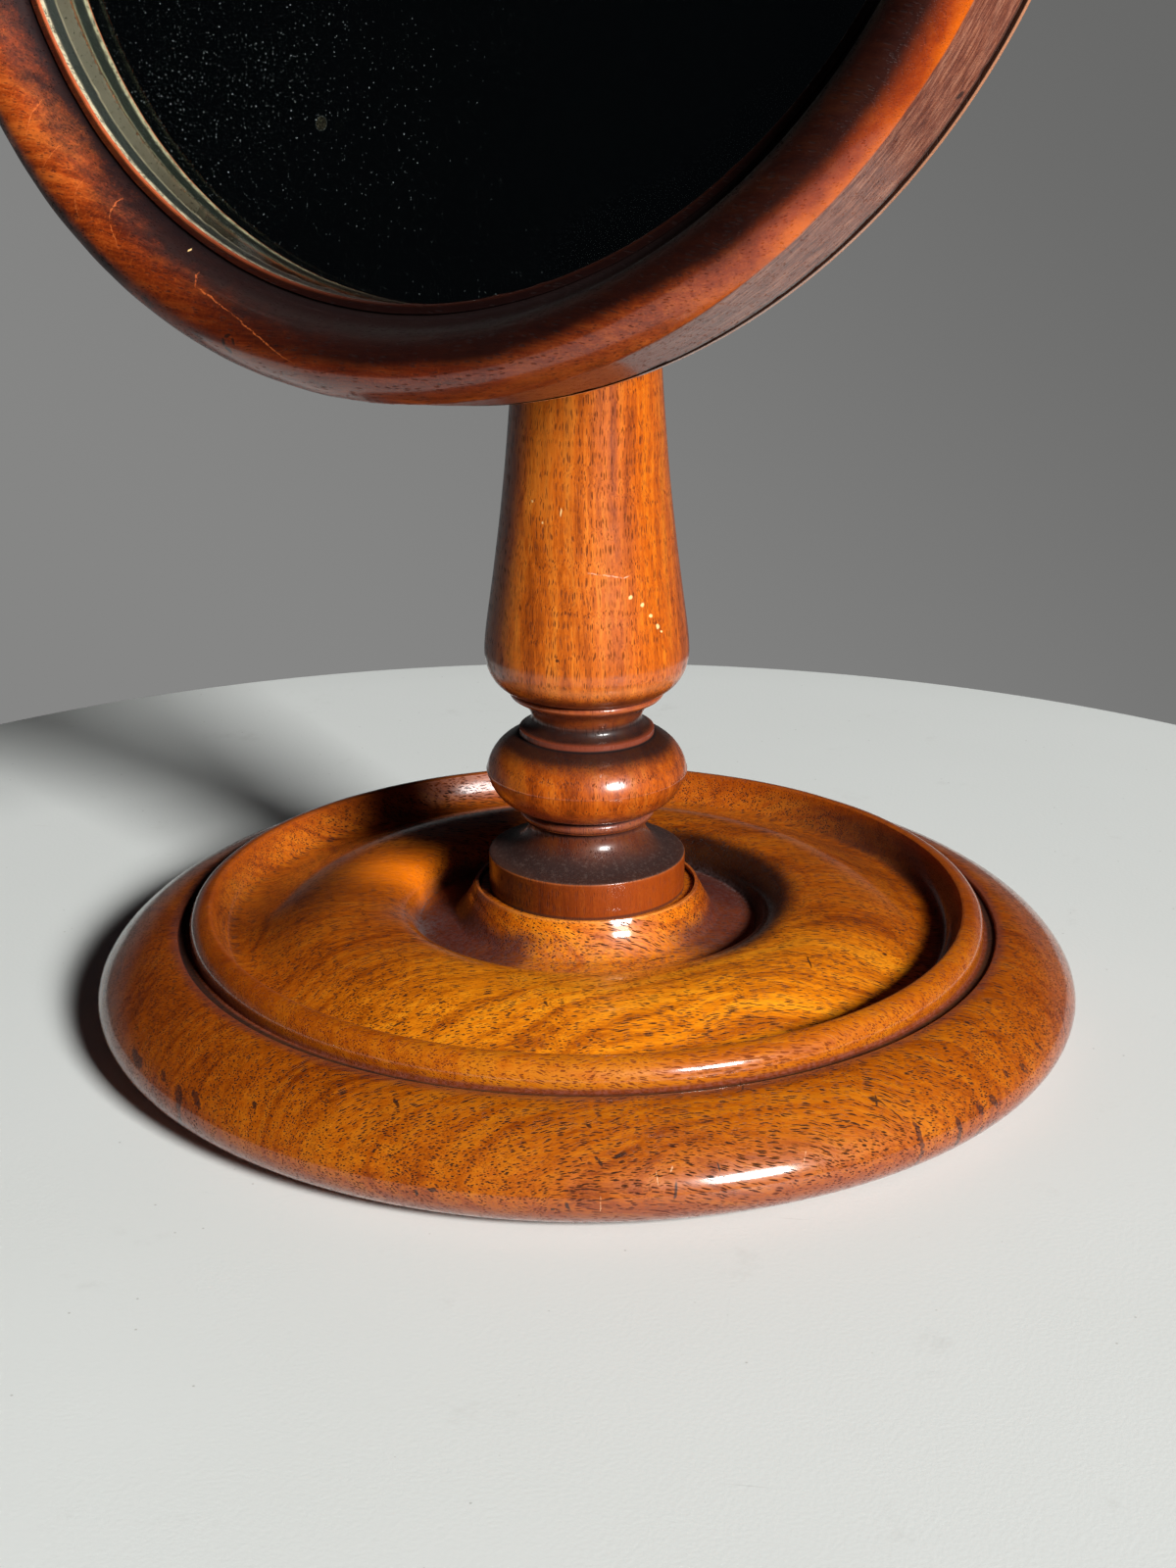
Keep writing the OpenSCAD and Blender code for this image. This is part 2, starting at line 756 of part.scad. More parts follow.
module back_boss() {
    color(dark_mahogany)
    on_mirror()
        difference() {
            rotate_extrude()
                polygon(concat(
                    [[0, bracket_z]],
                    oval([back_boss_r - 3, bracket_z + 3], [3, 3], -90, 0),
                    [[back_boss_r, board_back_z], [0, board_back_z]]
                ));
            boss_screw_places()
                screw(screw_r, boss_screw_l, screw_head_r, fit, false);
            bracket_screw_places()
                screw(screw_r, bracket_screw_l, screw_head_r, fit, false);
        }
}

module boss_screws() {
    color(iron)
    on_mirror()
        boss_screw_places()
            screw(screw_r, boss_screw_l, screw_head_r);
}

// The brass bracket: a round plate with two ears
module ear() {
    rotate([90, 0, 90])
        linear_extrude(ear_t)
            difference() {
                union() {
                    circle(r = knuckle_r);
                    polygon([
                        [-ear_root, ear_l + overlap], [-ear_root, ear_l - 2], [-knuckle_r, 0],
                        [knuckle_r, 0], [ear_root, ear_l - 2], [ear_root, ear_l + overlap]
                    ]);
                }
                circle(r = bolt_r + fit);
            }
}

module mirror_bracket() {
    color(brass)
    on_mirror()
        difference() {
            union() {
                translate([0, 0, ear_l])
                    cylinder(r = bracket_r, h = bracket_t);
                translate([ear_x, 0, 0])
                    ear();
                translate([-ear_out_x, 0, 0])
                    ear();
            }
            bracket_screw_places()
                screw(screw_r, bracket_screw_l, screw_head_r, fit, false);
        }
}

module bracket_screws() {
    color(brass)
    on_mirror()
        bracket_screw_places()
            screw(screw_r, bracket_screw_l, screw_head_r);
}

// The pivot bolt lies along X, with its head on the left and the thumb nut on the right
module along_pivot(x) {
    translate([x, 0, pivot_z])
        rotate([0, 90, 0])
            children();
}

module pivot_bolt() {
    bolt_end_x = nut_x + nut_l + 1.5;
    slot_w = 1.2;
    color(brass)
    difference() {
        union() {
            along_pivot(-ear_out_x - bolt_head_h)
                cylinder(r = bolt_head_r, h = bolt_head_h);
            along_pivot(-ear_out_x)
                cylinder(r = bolt_r, h = ear_out_x + bolt_end_x);
        }
        translate([-ear_out_x - bolt_head_h - overlap, -bolt_head_r - overlap, pivot_z - slot_w / 2])
            cube([slot_w + overlap, 2 * (bolt_head_r + overlap), slot_w]);
    }
}

module friction_washers() {
    color([0.30, 0.20, 0.12])
    for (x = [-ear_x, tongue_t / 2])
        along_pivot(x)
            tube(knuckle_r - 1, bolt_r + fit, washer_t);
}

module nut_washer() {
    color(brass)
    along_pivot(ear_out_x)
        tube(knuckle_r - 2, bolt_r + fit, washer_t);
}

module thumb_nut() {
    wing_r = 4.2;
    color(brass)
    along_pivot(nut_x)
        difference() {
            union() {
                cylinder(r = bolt_head_r, h = nut_l);
                translate([0, wing_t / 2, nut_l / 2])
                    rotate([90, 0, 0])
                        linear_extrude(wing_t)
                            for (side = [-1, 1]) {
                                translate([side * (wing_reach - wing_r), 1])
                                    circle(r = wing_r);
                                polygon([
                                    [0, -nut_l / 2 + 1], [side * (wing_reach - wing_r), 1 - wing_r],
                                    [side * (wing_reach - wing_r), 1 + wing_r], [0, nut_l / 2]
                                ]);
                            }
            }
            translate([0, 0, -overlap])
                cylinder(r = bolt_r + fit, h = nut_l + 2 * overlap);
        }
}

base_disc();
base_weight();
weight_screws();
baize_pad();
column();
column_screw();
screw_washer();
top_plate();
plate_screws();
swivel_bush();
grub_screw();
swivel_post();
mirror_frame();
mirror_glass();
silvering();
glass_felt();
glass_blocks();
back_board();
back_board_screws();
back_boss();
boss_screws();
mirror_bracket();
bracket_screws();
pivot_bolt();
friction_washers();
nut_washer();
thumb_nut();
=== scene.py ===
from bisect import bisect_right
from math import acos, asin, atan2, cos, degrees, hypot, pi, radians, sin, sqrt

import bmesh
import bpy
from mathutils import Euler, Matrix, Vector, noise

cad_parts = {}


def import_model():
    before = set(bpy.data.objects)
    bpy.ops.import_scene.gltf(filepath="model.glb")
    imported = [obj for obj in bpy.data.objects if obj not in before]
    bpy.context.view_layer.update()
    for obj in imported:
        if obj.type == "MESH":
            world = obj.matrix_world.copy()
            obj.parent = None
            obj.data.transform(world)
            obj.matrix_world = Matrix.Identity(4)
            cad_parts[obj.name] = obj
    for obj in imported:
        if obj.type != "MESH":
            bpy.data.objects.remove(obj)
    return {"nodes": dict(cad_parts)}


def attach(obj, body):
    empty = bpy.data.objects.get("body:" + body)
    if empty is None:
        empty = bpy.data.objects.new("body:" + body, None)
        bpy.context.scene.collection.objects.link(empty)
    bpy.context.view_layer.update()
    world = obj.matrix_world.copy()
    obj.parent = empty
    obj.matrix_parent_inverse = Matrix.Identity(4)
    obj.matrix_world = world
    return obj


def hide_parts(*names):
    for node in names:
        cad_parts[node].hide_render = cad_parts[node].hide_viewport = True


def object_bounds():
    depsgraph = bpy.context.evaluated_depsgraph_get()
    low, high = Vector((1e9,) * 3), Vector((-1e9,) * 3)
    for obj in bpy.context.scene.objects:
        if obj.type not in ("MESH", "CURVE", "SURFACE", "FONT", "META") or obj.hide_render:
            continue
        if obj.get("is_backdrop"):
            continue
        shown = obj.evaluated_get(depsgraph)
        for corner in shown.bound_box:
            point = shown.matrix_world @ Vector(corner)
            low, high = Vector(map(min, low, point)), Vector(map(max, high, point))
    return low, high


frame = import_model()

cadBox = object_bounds()
nodes = frame["nodes"]
scene = bpy.context.scene
scene.view_settings.view_transform = "Standard"
mm = 0.001               # outlines are drawn in millimetres, the scene is in metres


def shade(red, green, blue):  # a colour as picked on screen, 0 to 255, made linear
    def linear(value):
        share = value / 255
        return share / 12.92 if share <= 0.04045 else ((share + 0.055) / 1.055) ** 2.4
    return (linear(red), linear(green), linear(blue), 1.0)


def inMetres(values):
    return [value * mm for value in values]


# shader maths

class Wire:  # an output socket: sums written with it become Math nodes
    def __init__(self, finish, socket):
        self.finish = finish
        self.socket = socket

    def maths(self, operation, *values):
        return self.finish.add("ShaderNodeMath", {"operation": operation}, values)

    def __add__(self, other):
        return self.maths("ADD", self, other)

    def __radd__(self, other):
        return self.maths("ADD", other, self)

    def __sub__(self, other):
        return self.maths("SUBTRACT", self, other)

    def __rsub__(self, other):
        return self.maths("SUBTRACT", other, self)

    def __mul__(self, other):
        return self.maths("MULTIPLY", self, other)

    def __rmul__(self, other):
        return self.maths("MULTIPLY", other, self)

    def __truediv__(self, other):
        return self.maths("DIVIDE", self, other)

    def __rtruediv__(self, other):
        return self.maths("DIVIDE", other, self)

    def __pow__(self, other):
        return self.maths("POWER", self, other)

    def most(self, other):
        return self.maths("MAXIMUM", self, other)

    def least(self, other):
        return self.maths("MINIMUM", self, other)


class Finish:  # a material or the world, built node by node
    def __init__(self, owner):
        owner.use_nodes = True
        self.owner = owner
        self.tree = owner.node_tree
        self.tree.nodes.clear()

    def add(self, kind, settings=None, values=(), out=0):
        node = self.tree.nodes.new(kind)
        for key, value in (settings or {}).items():
            if key == "stops":
                elements = node.color_ramp.elements
                elements[0].position, elements[0].color = value[0]
                elements[1].position, elements[1].color = value[-1]
                for position, colour in value[1:-1]:
                    elements.new(position).color = colour
            else:
                setattr(node, key, value)
        for key, value in values.items() if isinstance(values, dict) else enumerate(values):
            socket = self.find(node.inputs, key)
            if isinstance(value, Wire):
                self.tree.links.new(value.socket, socket)
            elif value is not None:
                socket.default_value = value
        return Wire(self, self.find(node.outputs, out))

    def find(self, sockets, key):
        if isinstance(key, int):
            return sockets[key]
        return next(s for s in sockets if key in (s.identifier, s.name))

    def three(self, vector):  # the three parts of a vector
        first = self.add("ShaderNodeSeparateXYZ", None, [vector])
        return first, Wire(self, first.socket.node.outputs[1]), Wire(self, first.socket.node.outputs[2])

    def joined(self, x, y, z):
        return self.add("ShaderNodeCombineXYZ", None, [x, y, z])

    def placed(self, origin=(0, 0, 0), turn=(0, 0, 0)):  # object coordinates seen from a turned, moved origin
        point = self.add("ShaderNodeTexCoord", out="Object")
        turn = [radians(angle) for angle in turn]
        return self.moved(point, origin, turn)

    def moved(self, vector, origin, turn, size=(1, 1, 1)):
        values = {"Vector": vector, "Location": origin, "Rotation": turn, "Scale": size}
        return self.add("ShaderNodeMapping", {"vector_type": "TEXTURE"}, values)

    def lengthOf(self, vector):
        return self.add("ShaderNodeVectorMath", {"operation": "LENGTH"}, [vector], "Value")

    def stretched(self, vector, sizes):
        return self.add("ShaderNodeVectorMath", {"operation": "MULTIPLY"}, [vector, sizes])

    def noise(self, vector, scale=1.0, detail=2.0, rough=0.5, out=0):
        values = {"Vector": vector, "Scale": scale, "Detail": detail, "Roughness": rough}
        return self.add("ShaderNodeTexNoise", None, values, out)

    def cells(self, vector, scale=1.0):  # distance to the nearest seed, and that cell's own random number
        near = self.add("ShaderNodeTexVoronoi", None, {"Vector": vector, "Scale": scale})
        chance, _, _ = self.three(Wire(self, near.socket.node.outputs["Color"]))
        return near, chance

    def rise(self, value, low, high):  # 0 below low, 1 above high, smooth between
        return self.add("ShaderNodeMapRange", {"interpolation_type": "SMOOTHSTEP"}, [value, low, high])

    def fall(self, value, low, high):
        return self.add("ShaderNodeMapRange", {"interpolation_type": "SMOOTHSTEP"}, [value, low, high, 1.0, 0.0])

    def within(self, value, edges, far=None):  # edges in mm: 0 before the first, 1 between the middle two, 0 after the last
        start, full, fade, end = inMetres(edges)
        return self.rise(value, start, full) * self.fall(far or value, fade, end)

    def steps(self, edges):  # for named pairs in mm: 0 to 1 over a pair, and 1 to 0
        def past(name, value):
            return self.rise(value, *inMetres(edges[name]))

        def before(name, value):
            return self.fall(value, *inMetres(edges[name]))
        return past, before

    def ramp(self, value, stops):
        return self.add("ShaderNodeValToRGB", {"stops": stops}, [value])

    def mix(self, share, first, second, blend="MIX"):
        settings = {"data_type": "RGBA", "blend_type": blend}
        values = {"Factor_Float": share, "A_Color": first, "B_Color": second}
        return self.add("ShaderNodeMix", settings, values, "Result_Color")

    def coated(self, colour, coats):  # each coat is a share and a colour, laid over the last
        for share, tint in coats:
            colour = self.mix(share, colour, tint)
        return colour

    def tinted(self, share, colour, tint):  # darkened or warmed by a multiplied tint
        return self.mix(share, colour, self.mix(1.0, colour, tint, "MULTIPLY"))

    def hill(self, x, y):  # 1 at the origin, falling away round it
        return self.add("ShaderNodeMath", {"operation": "EXPONENT"}, [0 - (x * x + y * y)])

    def patch(self, x, y, azimuth, distance, width, depth):  # a hill at a place round the axis, in mm
        middleX, middleY, _ = seenFrom(azimuth, distance * mm, 0)
        return self.hill((x - middleX) / (width * mm), (y - middleY) / (depth * mm))

    def around(self, *place):  # coordinates, the distance from the axis, and how far a point lies towards an azimuth
        x, y, z = self.three(self.placed(*place))
        radius = (x * x + y * y) ** 0.5
        safeRadius = radius.most(0.001)

        def towards(azimuth):
            sideX, sideY, _ = seenFrom(azimuth, 1, 0)
            return (x * sideX + y * sideY) / safeRadius
        return x, y, z, radius, towards

    def dashes(self, vector, size, share):  # short streaks along x, of a length and width in mm, on a share of all places
        length, width = size
        near, chance = self.cells(self.stretched(vector, (1 / (length * mm), 1 / (width * mm), 1 / (width * mm))))
        return self.fall(near, 0.26, 0.43) * self.rise(share + chance, 1.0, 1.15)

    def marks(self, point, places):  # 1 on thin spots given by both ends and a width in mm, 0 elsewhere
        total = None
        for start, stop, width in places:
            solid = len(start) == 3                    # without a height, a mark goes through the whole depth
            (ax, ay, az), (bx, by, bz) = (tuple(end) + (0,) * (3 - len(end)) for end in (start, stop))
            flat = hypot(bx - ax, by - ay)
            half = (max(hypot(flat, bz - az), width) * 0.6 * mm, width * 0.6 * mm, width * 0.8 * mm if solid else 1)
            middle = tuple((a + b) / 2 * mm for a, b in zip((ax, ay, az), (bx, by, bz)))
            way = (0, -atan2(bz - az, flat), atan2(by - ay, bx - ax)) if flat or bz != az else (0, 0, 0)
            one = self.fall(self.lengthOf(self.moved(point, middle, way, half)), 0.55, 1.0)
            total = one if total is None else total.most(one)
        return total

    def polish(self, values):
        return self.add("ShaderNodeBsdfPrincipled", None, values)

    def bump(self, height, distance, normal=None):
        return self.add("ShaderNodeBump", None, {"Height": height, "Distance": distance, "Normal": normal})

    def end(self, shader, kind="ShaderNodeOutputMaterial"):
        node = self.tree.nodes.new(kind)
        self.tree.links.new(shader.socket, node.inputs["Surface"])
        return self.owner


# camera, table and lights

view = {"azimuth": 33.24, "pitch": 19.515, "distance": 0.56384, "height": 0.25925, "lens": 54.0, "shiftX": 0.00076}


def seenFrom(azimuth, distance, height):  # a place at an azimuth round the column, 0 in front of the mirror
    return Vector((sin(radians(azimuth)) * distance, -cos(radians(azimuth)) * distance, height))


cameraData = bpy.data.cameras.new("camera")
cameraData.lens = view["lens"]
cameraData.sensor_width = 36
cameraData.shift_x = view["shiftX"]
cameraData.clip_start = 0.02
camera = bpy.data.objects.new("camera", cameraData)
camera.location = seenFrom(view["azimuth"], view["distance"], view["height"])
camera.rotation_euler = Euler((radians(90 - view["pitch"]), 0, radians(view["azimuth"])))
scene.collection.objects.link(camera)
scene.camera = camera

lamps = {  # azimuth and elevation seen from the base, distance, width, height, power, colour
    "key": (68.5, 27.0, 6.0, 1.5, 1.12, 665.0, (1.0, 1.0, 0.985)),
    "front": (60, 0, 2.5, 1.6, 0.9, 1.0, (1.0, 0.97, 0.94)),
}
for name, (azimuth, elevation, distance, width, height, power, colour) in lamps.items():
    lampData = bpy.data.lights.new(name, "AREA")
    lampData.shape = "RECTANGLE"
    lampData.size = width
    lampData.size_y = height
    lampData.energy = power
    lampData.color = colour
    lamp = bpy.data.objects.new(name, lampData)
    level = radians(elevation)
    lamp.location = seenFrom(azimuth, distance * cos(level), distance * sin(level) + 0.05)
    lamp.rotation_euler = Euler((radians(90 - elevation), 0, radians(azimuth)))
    scene.collection.objects.link(lamp)

surroundings = {
    "left": shade(134, 134, 133), "right": shade(103, 103, 102), "low": shade(92, 92, 92),
    "dark": shade(5, 6, 8), "fill": shade(20, 20, 22),
}
world = bpy.data.worlds.new("studio")
scene.world = world
studio = Finish(world)
outwards = studio.add("ShaderNodeTexCoord", out="Generated")
_, _, rising = studio.three(outwards)


def towardsAzimuth(azimuth):  # how far a ray's direction goes towards an azimuth
    way = tuple(seenFrom(azimuth, 1, 0))
    return studio.add("ShaderNodeVectorMath", {"operation": "DOT_PRODUCT"}, [outwards, way], "Value")


ahead = towardsAzimuth(view["azimuth"] + 180)
across = towardsAzimuth(view["azimuth"] + 90)
backdrop = studio.mix(studio.rise(across * 0.7 + rising * 0.8, -0.34, 0.19), surroundings["left"], surroundings["right"])
lowBehind = studio.fall(rising, 0.08, 0.26) * studio.rise(ahead, -0.2, 0.4)
mirrored = studio.mix(lowBehind, surroundings["dark"], surroundings["low"])
cameraRay = studio.add("ShaderNodeLightPath", out="Is Camera Ray")
glossyRay = studio.add("ShaderNodeLightPath", out="Is Glossy Ray")
clearRay = studio.add("ShaderNodeLightPath", out="Is Transmission Ray")
shown = studio.mix(cameraRay, studio.mix(glossyRay.most(clearRay), surroundings["fill"], mirrored), backdrop)
studio.end(studio.add("ShaderNodeBackground", None, [shown, 1.0]), "ShaderNodeOutputWorld")
print("camera, lamps and world ready")


# outlines and turned pieces

def oval(centre, size, start, stop, steps=20):
    angles = [radians(start + (stop - start) * i / steps) for i in range(steps + 1)]
    return [(centre[0] + size[0] * cos(a), centre[1] + size[1] * sin(a)) for a in angles]


def halfRound(radius, low, high, start, stop, steps):  # a bead's side, out to radius
    half = (high - low) / 2
    return oval((radius - half, low + half), (half, half), start, stop, steps)


def curve(p, q, r, s, steps=24):  # from p to s with handles q and r, without p itself
    points = []
    for i in range(1, steps + 1):
        t = i / steps
        u = 1 - t
        shares = (u * u * u, 3 * u * u * t, 3 * u * t * t, t * t * t)
        points.append(tuple(sum(share * end[k] for share, end in zip(shares, (p, q, r, s))) for k in (0, 1)))
    return points


def spaced(outline, step):  # points added so that none are further apart than step
    points = [outline[0]]
    for start, stop in zip(outline, outline[1:]):
        length = sqrt((stop[0] - start[0]) ** 2 + (stop[1] - start[1]) ** 2)
        if length < 1e-6:
            continue
        count = max(1, round(length / step))
        points += [tuple(start[k] + (stop[k] - start[k]) * i / count for k in (0, 1)) for i in range(1, count + 1)]
    return points


def edgeTurns(outline, reach=1.3):  # how far the outline turns within reach: edges above 0, inner corners below
    lengths = [0.0]
    for start, stop in zip(outline, outline[1:]):
        lengths.append(lengths[-1] + sqrt((stop[0] - start[0]) ** 2 + (stop[1] - start[1]) ** 2))

    def at(length):
        length = min(max(length, 0.0), lengths[-1])
        i = min(bisect_right(lengths, length) - 1, len(outline) - 2)
        share = (length - lengths[i]) / max(lengths[i + 1] - lengths[i], 1e-9)
        return tuple(outline[i][k] + (outline[i + 1][k] - outline[i][k]) * share for k in (0, 1))

    turns = []
    for length, point in zip(lengths, outline):
        before, after = at(length - reach), at(length + reach)
        a = (point[0] - before[0], point[1] - before[1])
        b = (after[0] - point[0], after[1] - point[1])
        turns.append(atan2(a[0] * b[1] - a[1] * b[0], a[0] * b[0] + a[1] * b[1]))
    return turns


def turned(name, outline, sectors, place=Matrix(), spacing=0.9, ripple=0.0, rippleSize=14.0, nicks=0.0):
    # a solid of revolution round Z from a closed outline in (radius, height), material on the left of its path
    points = spaced(outline + [outline[0]], spacing)[:-1]
    turns = edgeTurns(points)
    vertices, edges, rings = [], [], []
    for (radius, height), turn in zip(points, turns):
        count = 1 if radius < 1e-6 else sectors
        rings.append((len(vertices), count))
        for i in range(count):
            angle = 2 * pi * i / sectors
            spot = Vector((radius * cos(angle), radius * sin(angle), height))
            if ripple and count > 1:
                swell = noise.noise(spot / rippleSize) * ripple
                bite = max(0.0, noise.noise(spot / 3.5) - 0.2) * nicks * min(turn, 1.0) if turn > 0.35 else 0.0
                spot += Vector((cos(angle), sin(angle), 0.6)) * (swell - bite)
            vertices.append(place @ (spot * mm))
            edges.append(turn)
    faces = []
    for k, (first, count) in enumerate(rings):
        second, following = rings[(k + 1) % len(rings)]
        if count == 1 and following == 1:
            continue
        for i in range(sectors):
            j = (i + 1) % sectors
            if count == 1:
                faces.append((first, second + j, second + i))
            elif following == 1:
                faces.append((first + i, first + j, second))
            else:
                faces.append((first + i, first + j, second + j, second + i))
    mesh = bpy.data.meshes.new(name)
    mesh.from_pydata(vertices, [], faces)
    mesh.attributes.new("edge", "FLOAT", "POINT").data.foreach_set("value", edges)
    return settle(name, mesh)


def settle(name, mesh, sharp=34):  # normals outwards, hard edges kept, object linked at the origin
    shape = bmesh.new()
    shape.from_mesh(mesh)
    bmesh.ops.recalc_face_normals(shape, faces=shape.faces)
    for face in shape.faces:
        face.smooth = True
    for edge in shape.edges:
        edge.smooth = edge.calc_face_angle(0) < radians(sharp)
    shape.to_mesh(mesh)
    shape.free()
    piece = bpy.data.objects.new(name, mesh)
    scene.collection.objects.link(piece)
    return piece


def dress(piece, material, body, slot, *replaced):
    piece.data.materials.clear()
    piece.data.materials.append(material)
    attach(piece, body)
    if replaced:
        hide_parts(*replaced)
    print("made", piece.name)


def refinish(material, *names):  # a CAD node keeps its shape and gets a better material
    for name in names:
        if not nodes[name].data.materials:
            nodes[name].data.materials.append(material)
        for i in range(len(nodes[name].data.materials)):
            nodes[name].data.materials[i] = material


table = {"radius": 325, "thick": 22, "round": 3, "centre": 15}
tableOutline = [(0, -table["thick"]), (table["radius"] - table["round"], -table["thick"])]
tableOutline += oval((table["radius"] - table["round"], -table["round"]), (table["round"], table["round"]), 0, 90) + [(0, 0)]
tableMiddle = Matrix.Translation(seenFrom(view["azimuth"], table["centre"] * mm, 0))
tableTop = turned("tableTop", tableOutline, 256, tableMiddle, spacing=20)
paint = Finish(bpy.data.materials.new("palePaint"))
point = paint.placed()
speck, chance = paint.cells(point, 260)
spots = paint.fall(speck, 0.04, 0.10) * paint.rise(chance, 0.86, 0.9)
cloudy = paint.noise(point, 9, 3)
smudged = paint.rise(paint.noise(point, 38, 5, 0.7), 0.60, 0.74)
rubbed, rubChance = paint.cells(paint.stretched(paint.placed(turn=(0, 0, 25)), (16, 420, 1)))
rubs = paint.fall(rubbed, 0.02, 0.10) * paint.rise(rubChance, 0.90, 0.94)
rubs = rubs * paint.rise(paint.noise(point, 60, 4, 0.7), 0.45, 0.6)
paleColour = paint.mix(cloudy, shade(226, 229, 226), shade(232, 235, 233))
dirty = [(spots * 0.45, shade(140, 134, 124)), (smudged * 0.10 + rubs * 0.22, shade(150, 143, 132))]
paleColour = paint.coated(paleColour, dirty)
grainy = paint.bump(paint.noise(point, 900, 3), 0.00004)
paint.end(paint.polish({"Base Color": paleColour, "Roughness": 0.55, "Normal": grainy}))
tableTop.data.materials.append(paint.owner)
tableTop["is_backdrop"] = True


# mahogany

grainSizes = {  # noises to a metre, along the grain and across it
    "waver": (120, 70, 70), "streak": (55, 620, 620), "fibre": (170, 2600, 2600), "crowd": (40, 130, 130),
}
toneShares = {"ribbon": 0.24, "growth": 0.32, "streak": 0.24, "fibre": 0.20}
edgeDirt = {"from": 0.25, "to": 1.05, "colour": shade(26, 17, 13), "share": 0.88}
edgeWear = {"from": 0.35, "to": 1.3, "colour": shade(222, 138, 84), "share": 0.4}
marked = {"blots": (0.75, shade(46, 24, 22)), "dents": (0.85, shade(34, 20, 16)), "chips": (0.9, shade(246, 206, 140))}

# A look gives where the grain starts and how it is turned, its three tones and the dark of its growth lines (late), how
# far in metres and how often the grain wanders (sway), the streaks to a metre (ribbon), the pith's place, taper and width
# of the growth rings, a pore's length and width in mm, how many there are and how dark, and the same for the finer hairs.
# Then come the specks (mottle), roughness and gloss, the waves and the depth of the relief in mm, and the marks, whose
# places are in mm as seen from the front given by face.


def mahogany(look, stain):
    wood = Finish(bpy.data.materials.new(look["name"]))
    point = wood.placed(look["origin"], look["turn"])          # grain runs along x
    x, y, z = wood.three(point)
    _, swayY, swayZ = wood.three(wood.noise(point, look["swayScale"], 2, out="Color"))
    waver = (wood.noise(wood.stretched(point, grainSizes["waver"]), 1, 2) - 0.5) * (2.2 * mm)
    y = y + (swayY - 0.5) * look["sway"] + waver
    z = z + (swayZ - 0.5) * look["sway"] + waver
    grain = wood.joined(x, y, z)
    pithY, pithZ, taper, ringW = look["rings"]     # the tree's middle, how its rings close in, their width
    away = wood.lengthOf(wood.joined(y - pithY * mm, z - pithZ * mm, 0.0))
    growth = wood.noise(wood.joined((away + x * taper) / (ringW * mm), x * 9, y * 20), 1, 2, 0.55)
    ribbon = wood.noise(wood.stretched(grain, (7, look["ribbon"], look["ribbon"])), 1, 2)
    streak = wood.noise(wood.stretched(grain, grainSizes["streak"]), 1, 2, 0.6)
    fibre = wood.noise(wood.stretched(grain, grainSizes["fibre"]), 1, 3, 0.65)
    tone = ribbon * toneShares["ribbon"] + growth * toneShares["growth"]
    tone = tone + streak * toneShares["streak"] + fibre * toneShares["fibre"]

    length, width = look["pore"]
    crowd = (wood.noise(wood.stretched(grain, grainSizes["crowd"]), 1, 2) - 0.5) * look["clusters"]
    if look.get("porous"):
        spot = wood.placed(*look["face"])
        for place in look["porous"]:
            crowd = crowd + wood.marks(spot, [place]) * 0.4
    pores = wood.dashes(grain, (length, width), crowd + look["poreShare"])
    hairs = wood.dashes(grain, (length * 0.7, width * 0.6), look["hairShare"] - crowd * 0.5)
    mottle = wood.noise(point, 1700, 2)
    edge = wood.add("ShaderNodeAttribute", {"attribute_name": "edge"}, out="Fac")
    patchy = wood.noise(point, 130, 4, 0.6)
    dirt = wood.rise(edge * -1 + (patchy - 0.5) * 0.5, edgeDirt["from"], edgeDirt["to"]) * edgeDirt["share"]
    worn = wood.rise(edge + (patchy - 0.5) * 1.6, edgeWear["from"], edgeWear["to"]) * edgeWear["share"]
    colour = wood.ramp(tone, [(0.40, look["deep"]), (0.5, look["body"]), (0.60, look["bright"])])
    colour = wood.coated(colour, [
        (wood.rise(growth, 0.54, 0.68) * look["late"], look["deep"]), (hairs * look["hairDark"], look["poreColour"]),
        (pores * look["poreDark"], look["poreColour"]), (wood.rise(mottle, 0.5, 0.72) * look["mottle"], look["bright"]),
        (worn, edgeWear["colour"]), (dirt, edgeDirt["colour"]),
    ])
    rough = look["rough"] + (fibre - 0.5) * 0.12 + dirt * 0.25
    height = 1 - pores * 0.6 - hairs * 0.3 + (fibre - 0.5) * 0.3 + (streak - 0.5) * 0.4
    colour, rough, matt = stain(wood, colour, rough)

    spot = wood.placed(*look["face"])
    _, _, spotZ = wood.three(spot)
    wander = wood.noise(point, 420, 3, out="Color")            # the marks' outlines aren't quite straight
    wander = wood.add("ShaderNodeVectorMath", {"operation": "SUBTRACT"}, [wander, (0.5, 0.5, 0.5)])
    spot = wood.add("ShaderNodeVectorMath", {"operation": "MULTIPLY_ADD"}, [wander, (1.1 * mm,) * 3, spot])
    front = wood.rise(spotZ, look["faceFrom"] * mm, (look["faceFrom"] + 1) * mm)
    for kind in ("blots", "scratches", "dents", "chips"):
        if not look.get(kind):
            continue
        share, tint = marked.get(kind) or look["scratched"]
        places = wood.marks(spot, look[kind]) * front
        if kind == "blots":
            places = wood.rise(places + (patchy - 0.5) * 1.6 + (mottle - 0.5) * 1.8, 0.6, 1.0)
        if kind == "scratches":
            places = places * wood.rise(mottle, 0.3, 0.55)
        colour = wood.mix(places * share, colour, tint)
    broad = wood.bump(wood.noise(point, look["wave"], 2), look["waveDepth"] * mm)
    fine = wood.bump(height, look["grainDepth"] * mm, broad)
    clear = 1 - (pores * 0.8 + dirt * 0.6 + matt).least(0.95)
    values = {
        "Base Color": colour, "Roughness": rough + pores * 0.4, "Normal": fine, "IOR": 1.5, "Specular IOR Level": 0.2,
        "Coat Weight": clear, "Coat Roughness": look["gloss"], "Coat IOR": 1.5,
    }
    return wood.end(wood.polish(values))


# base

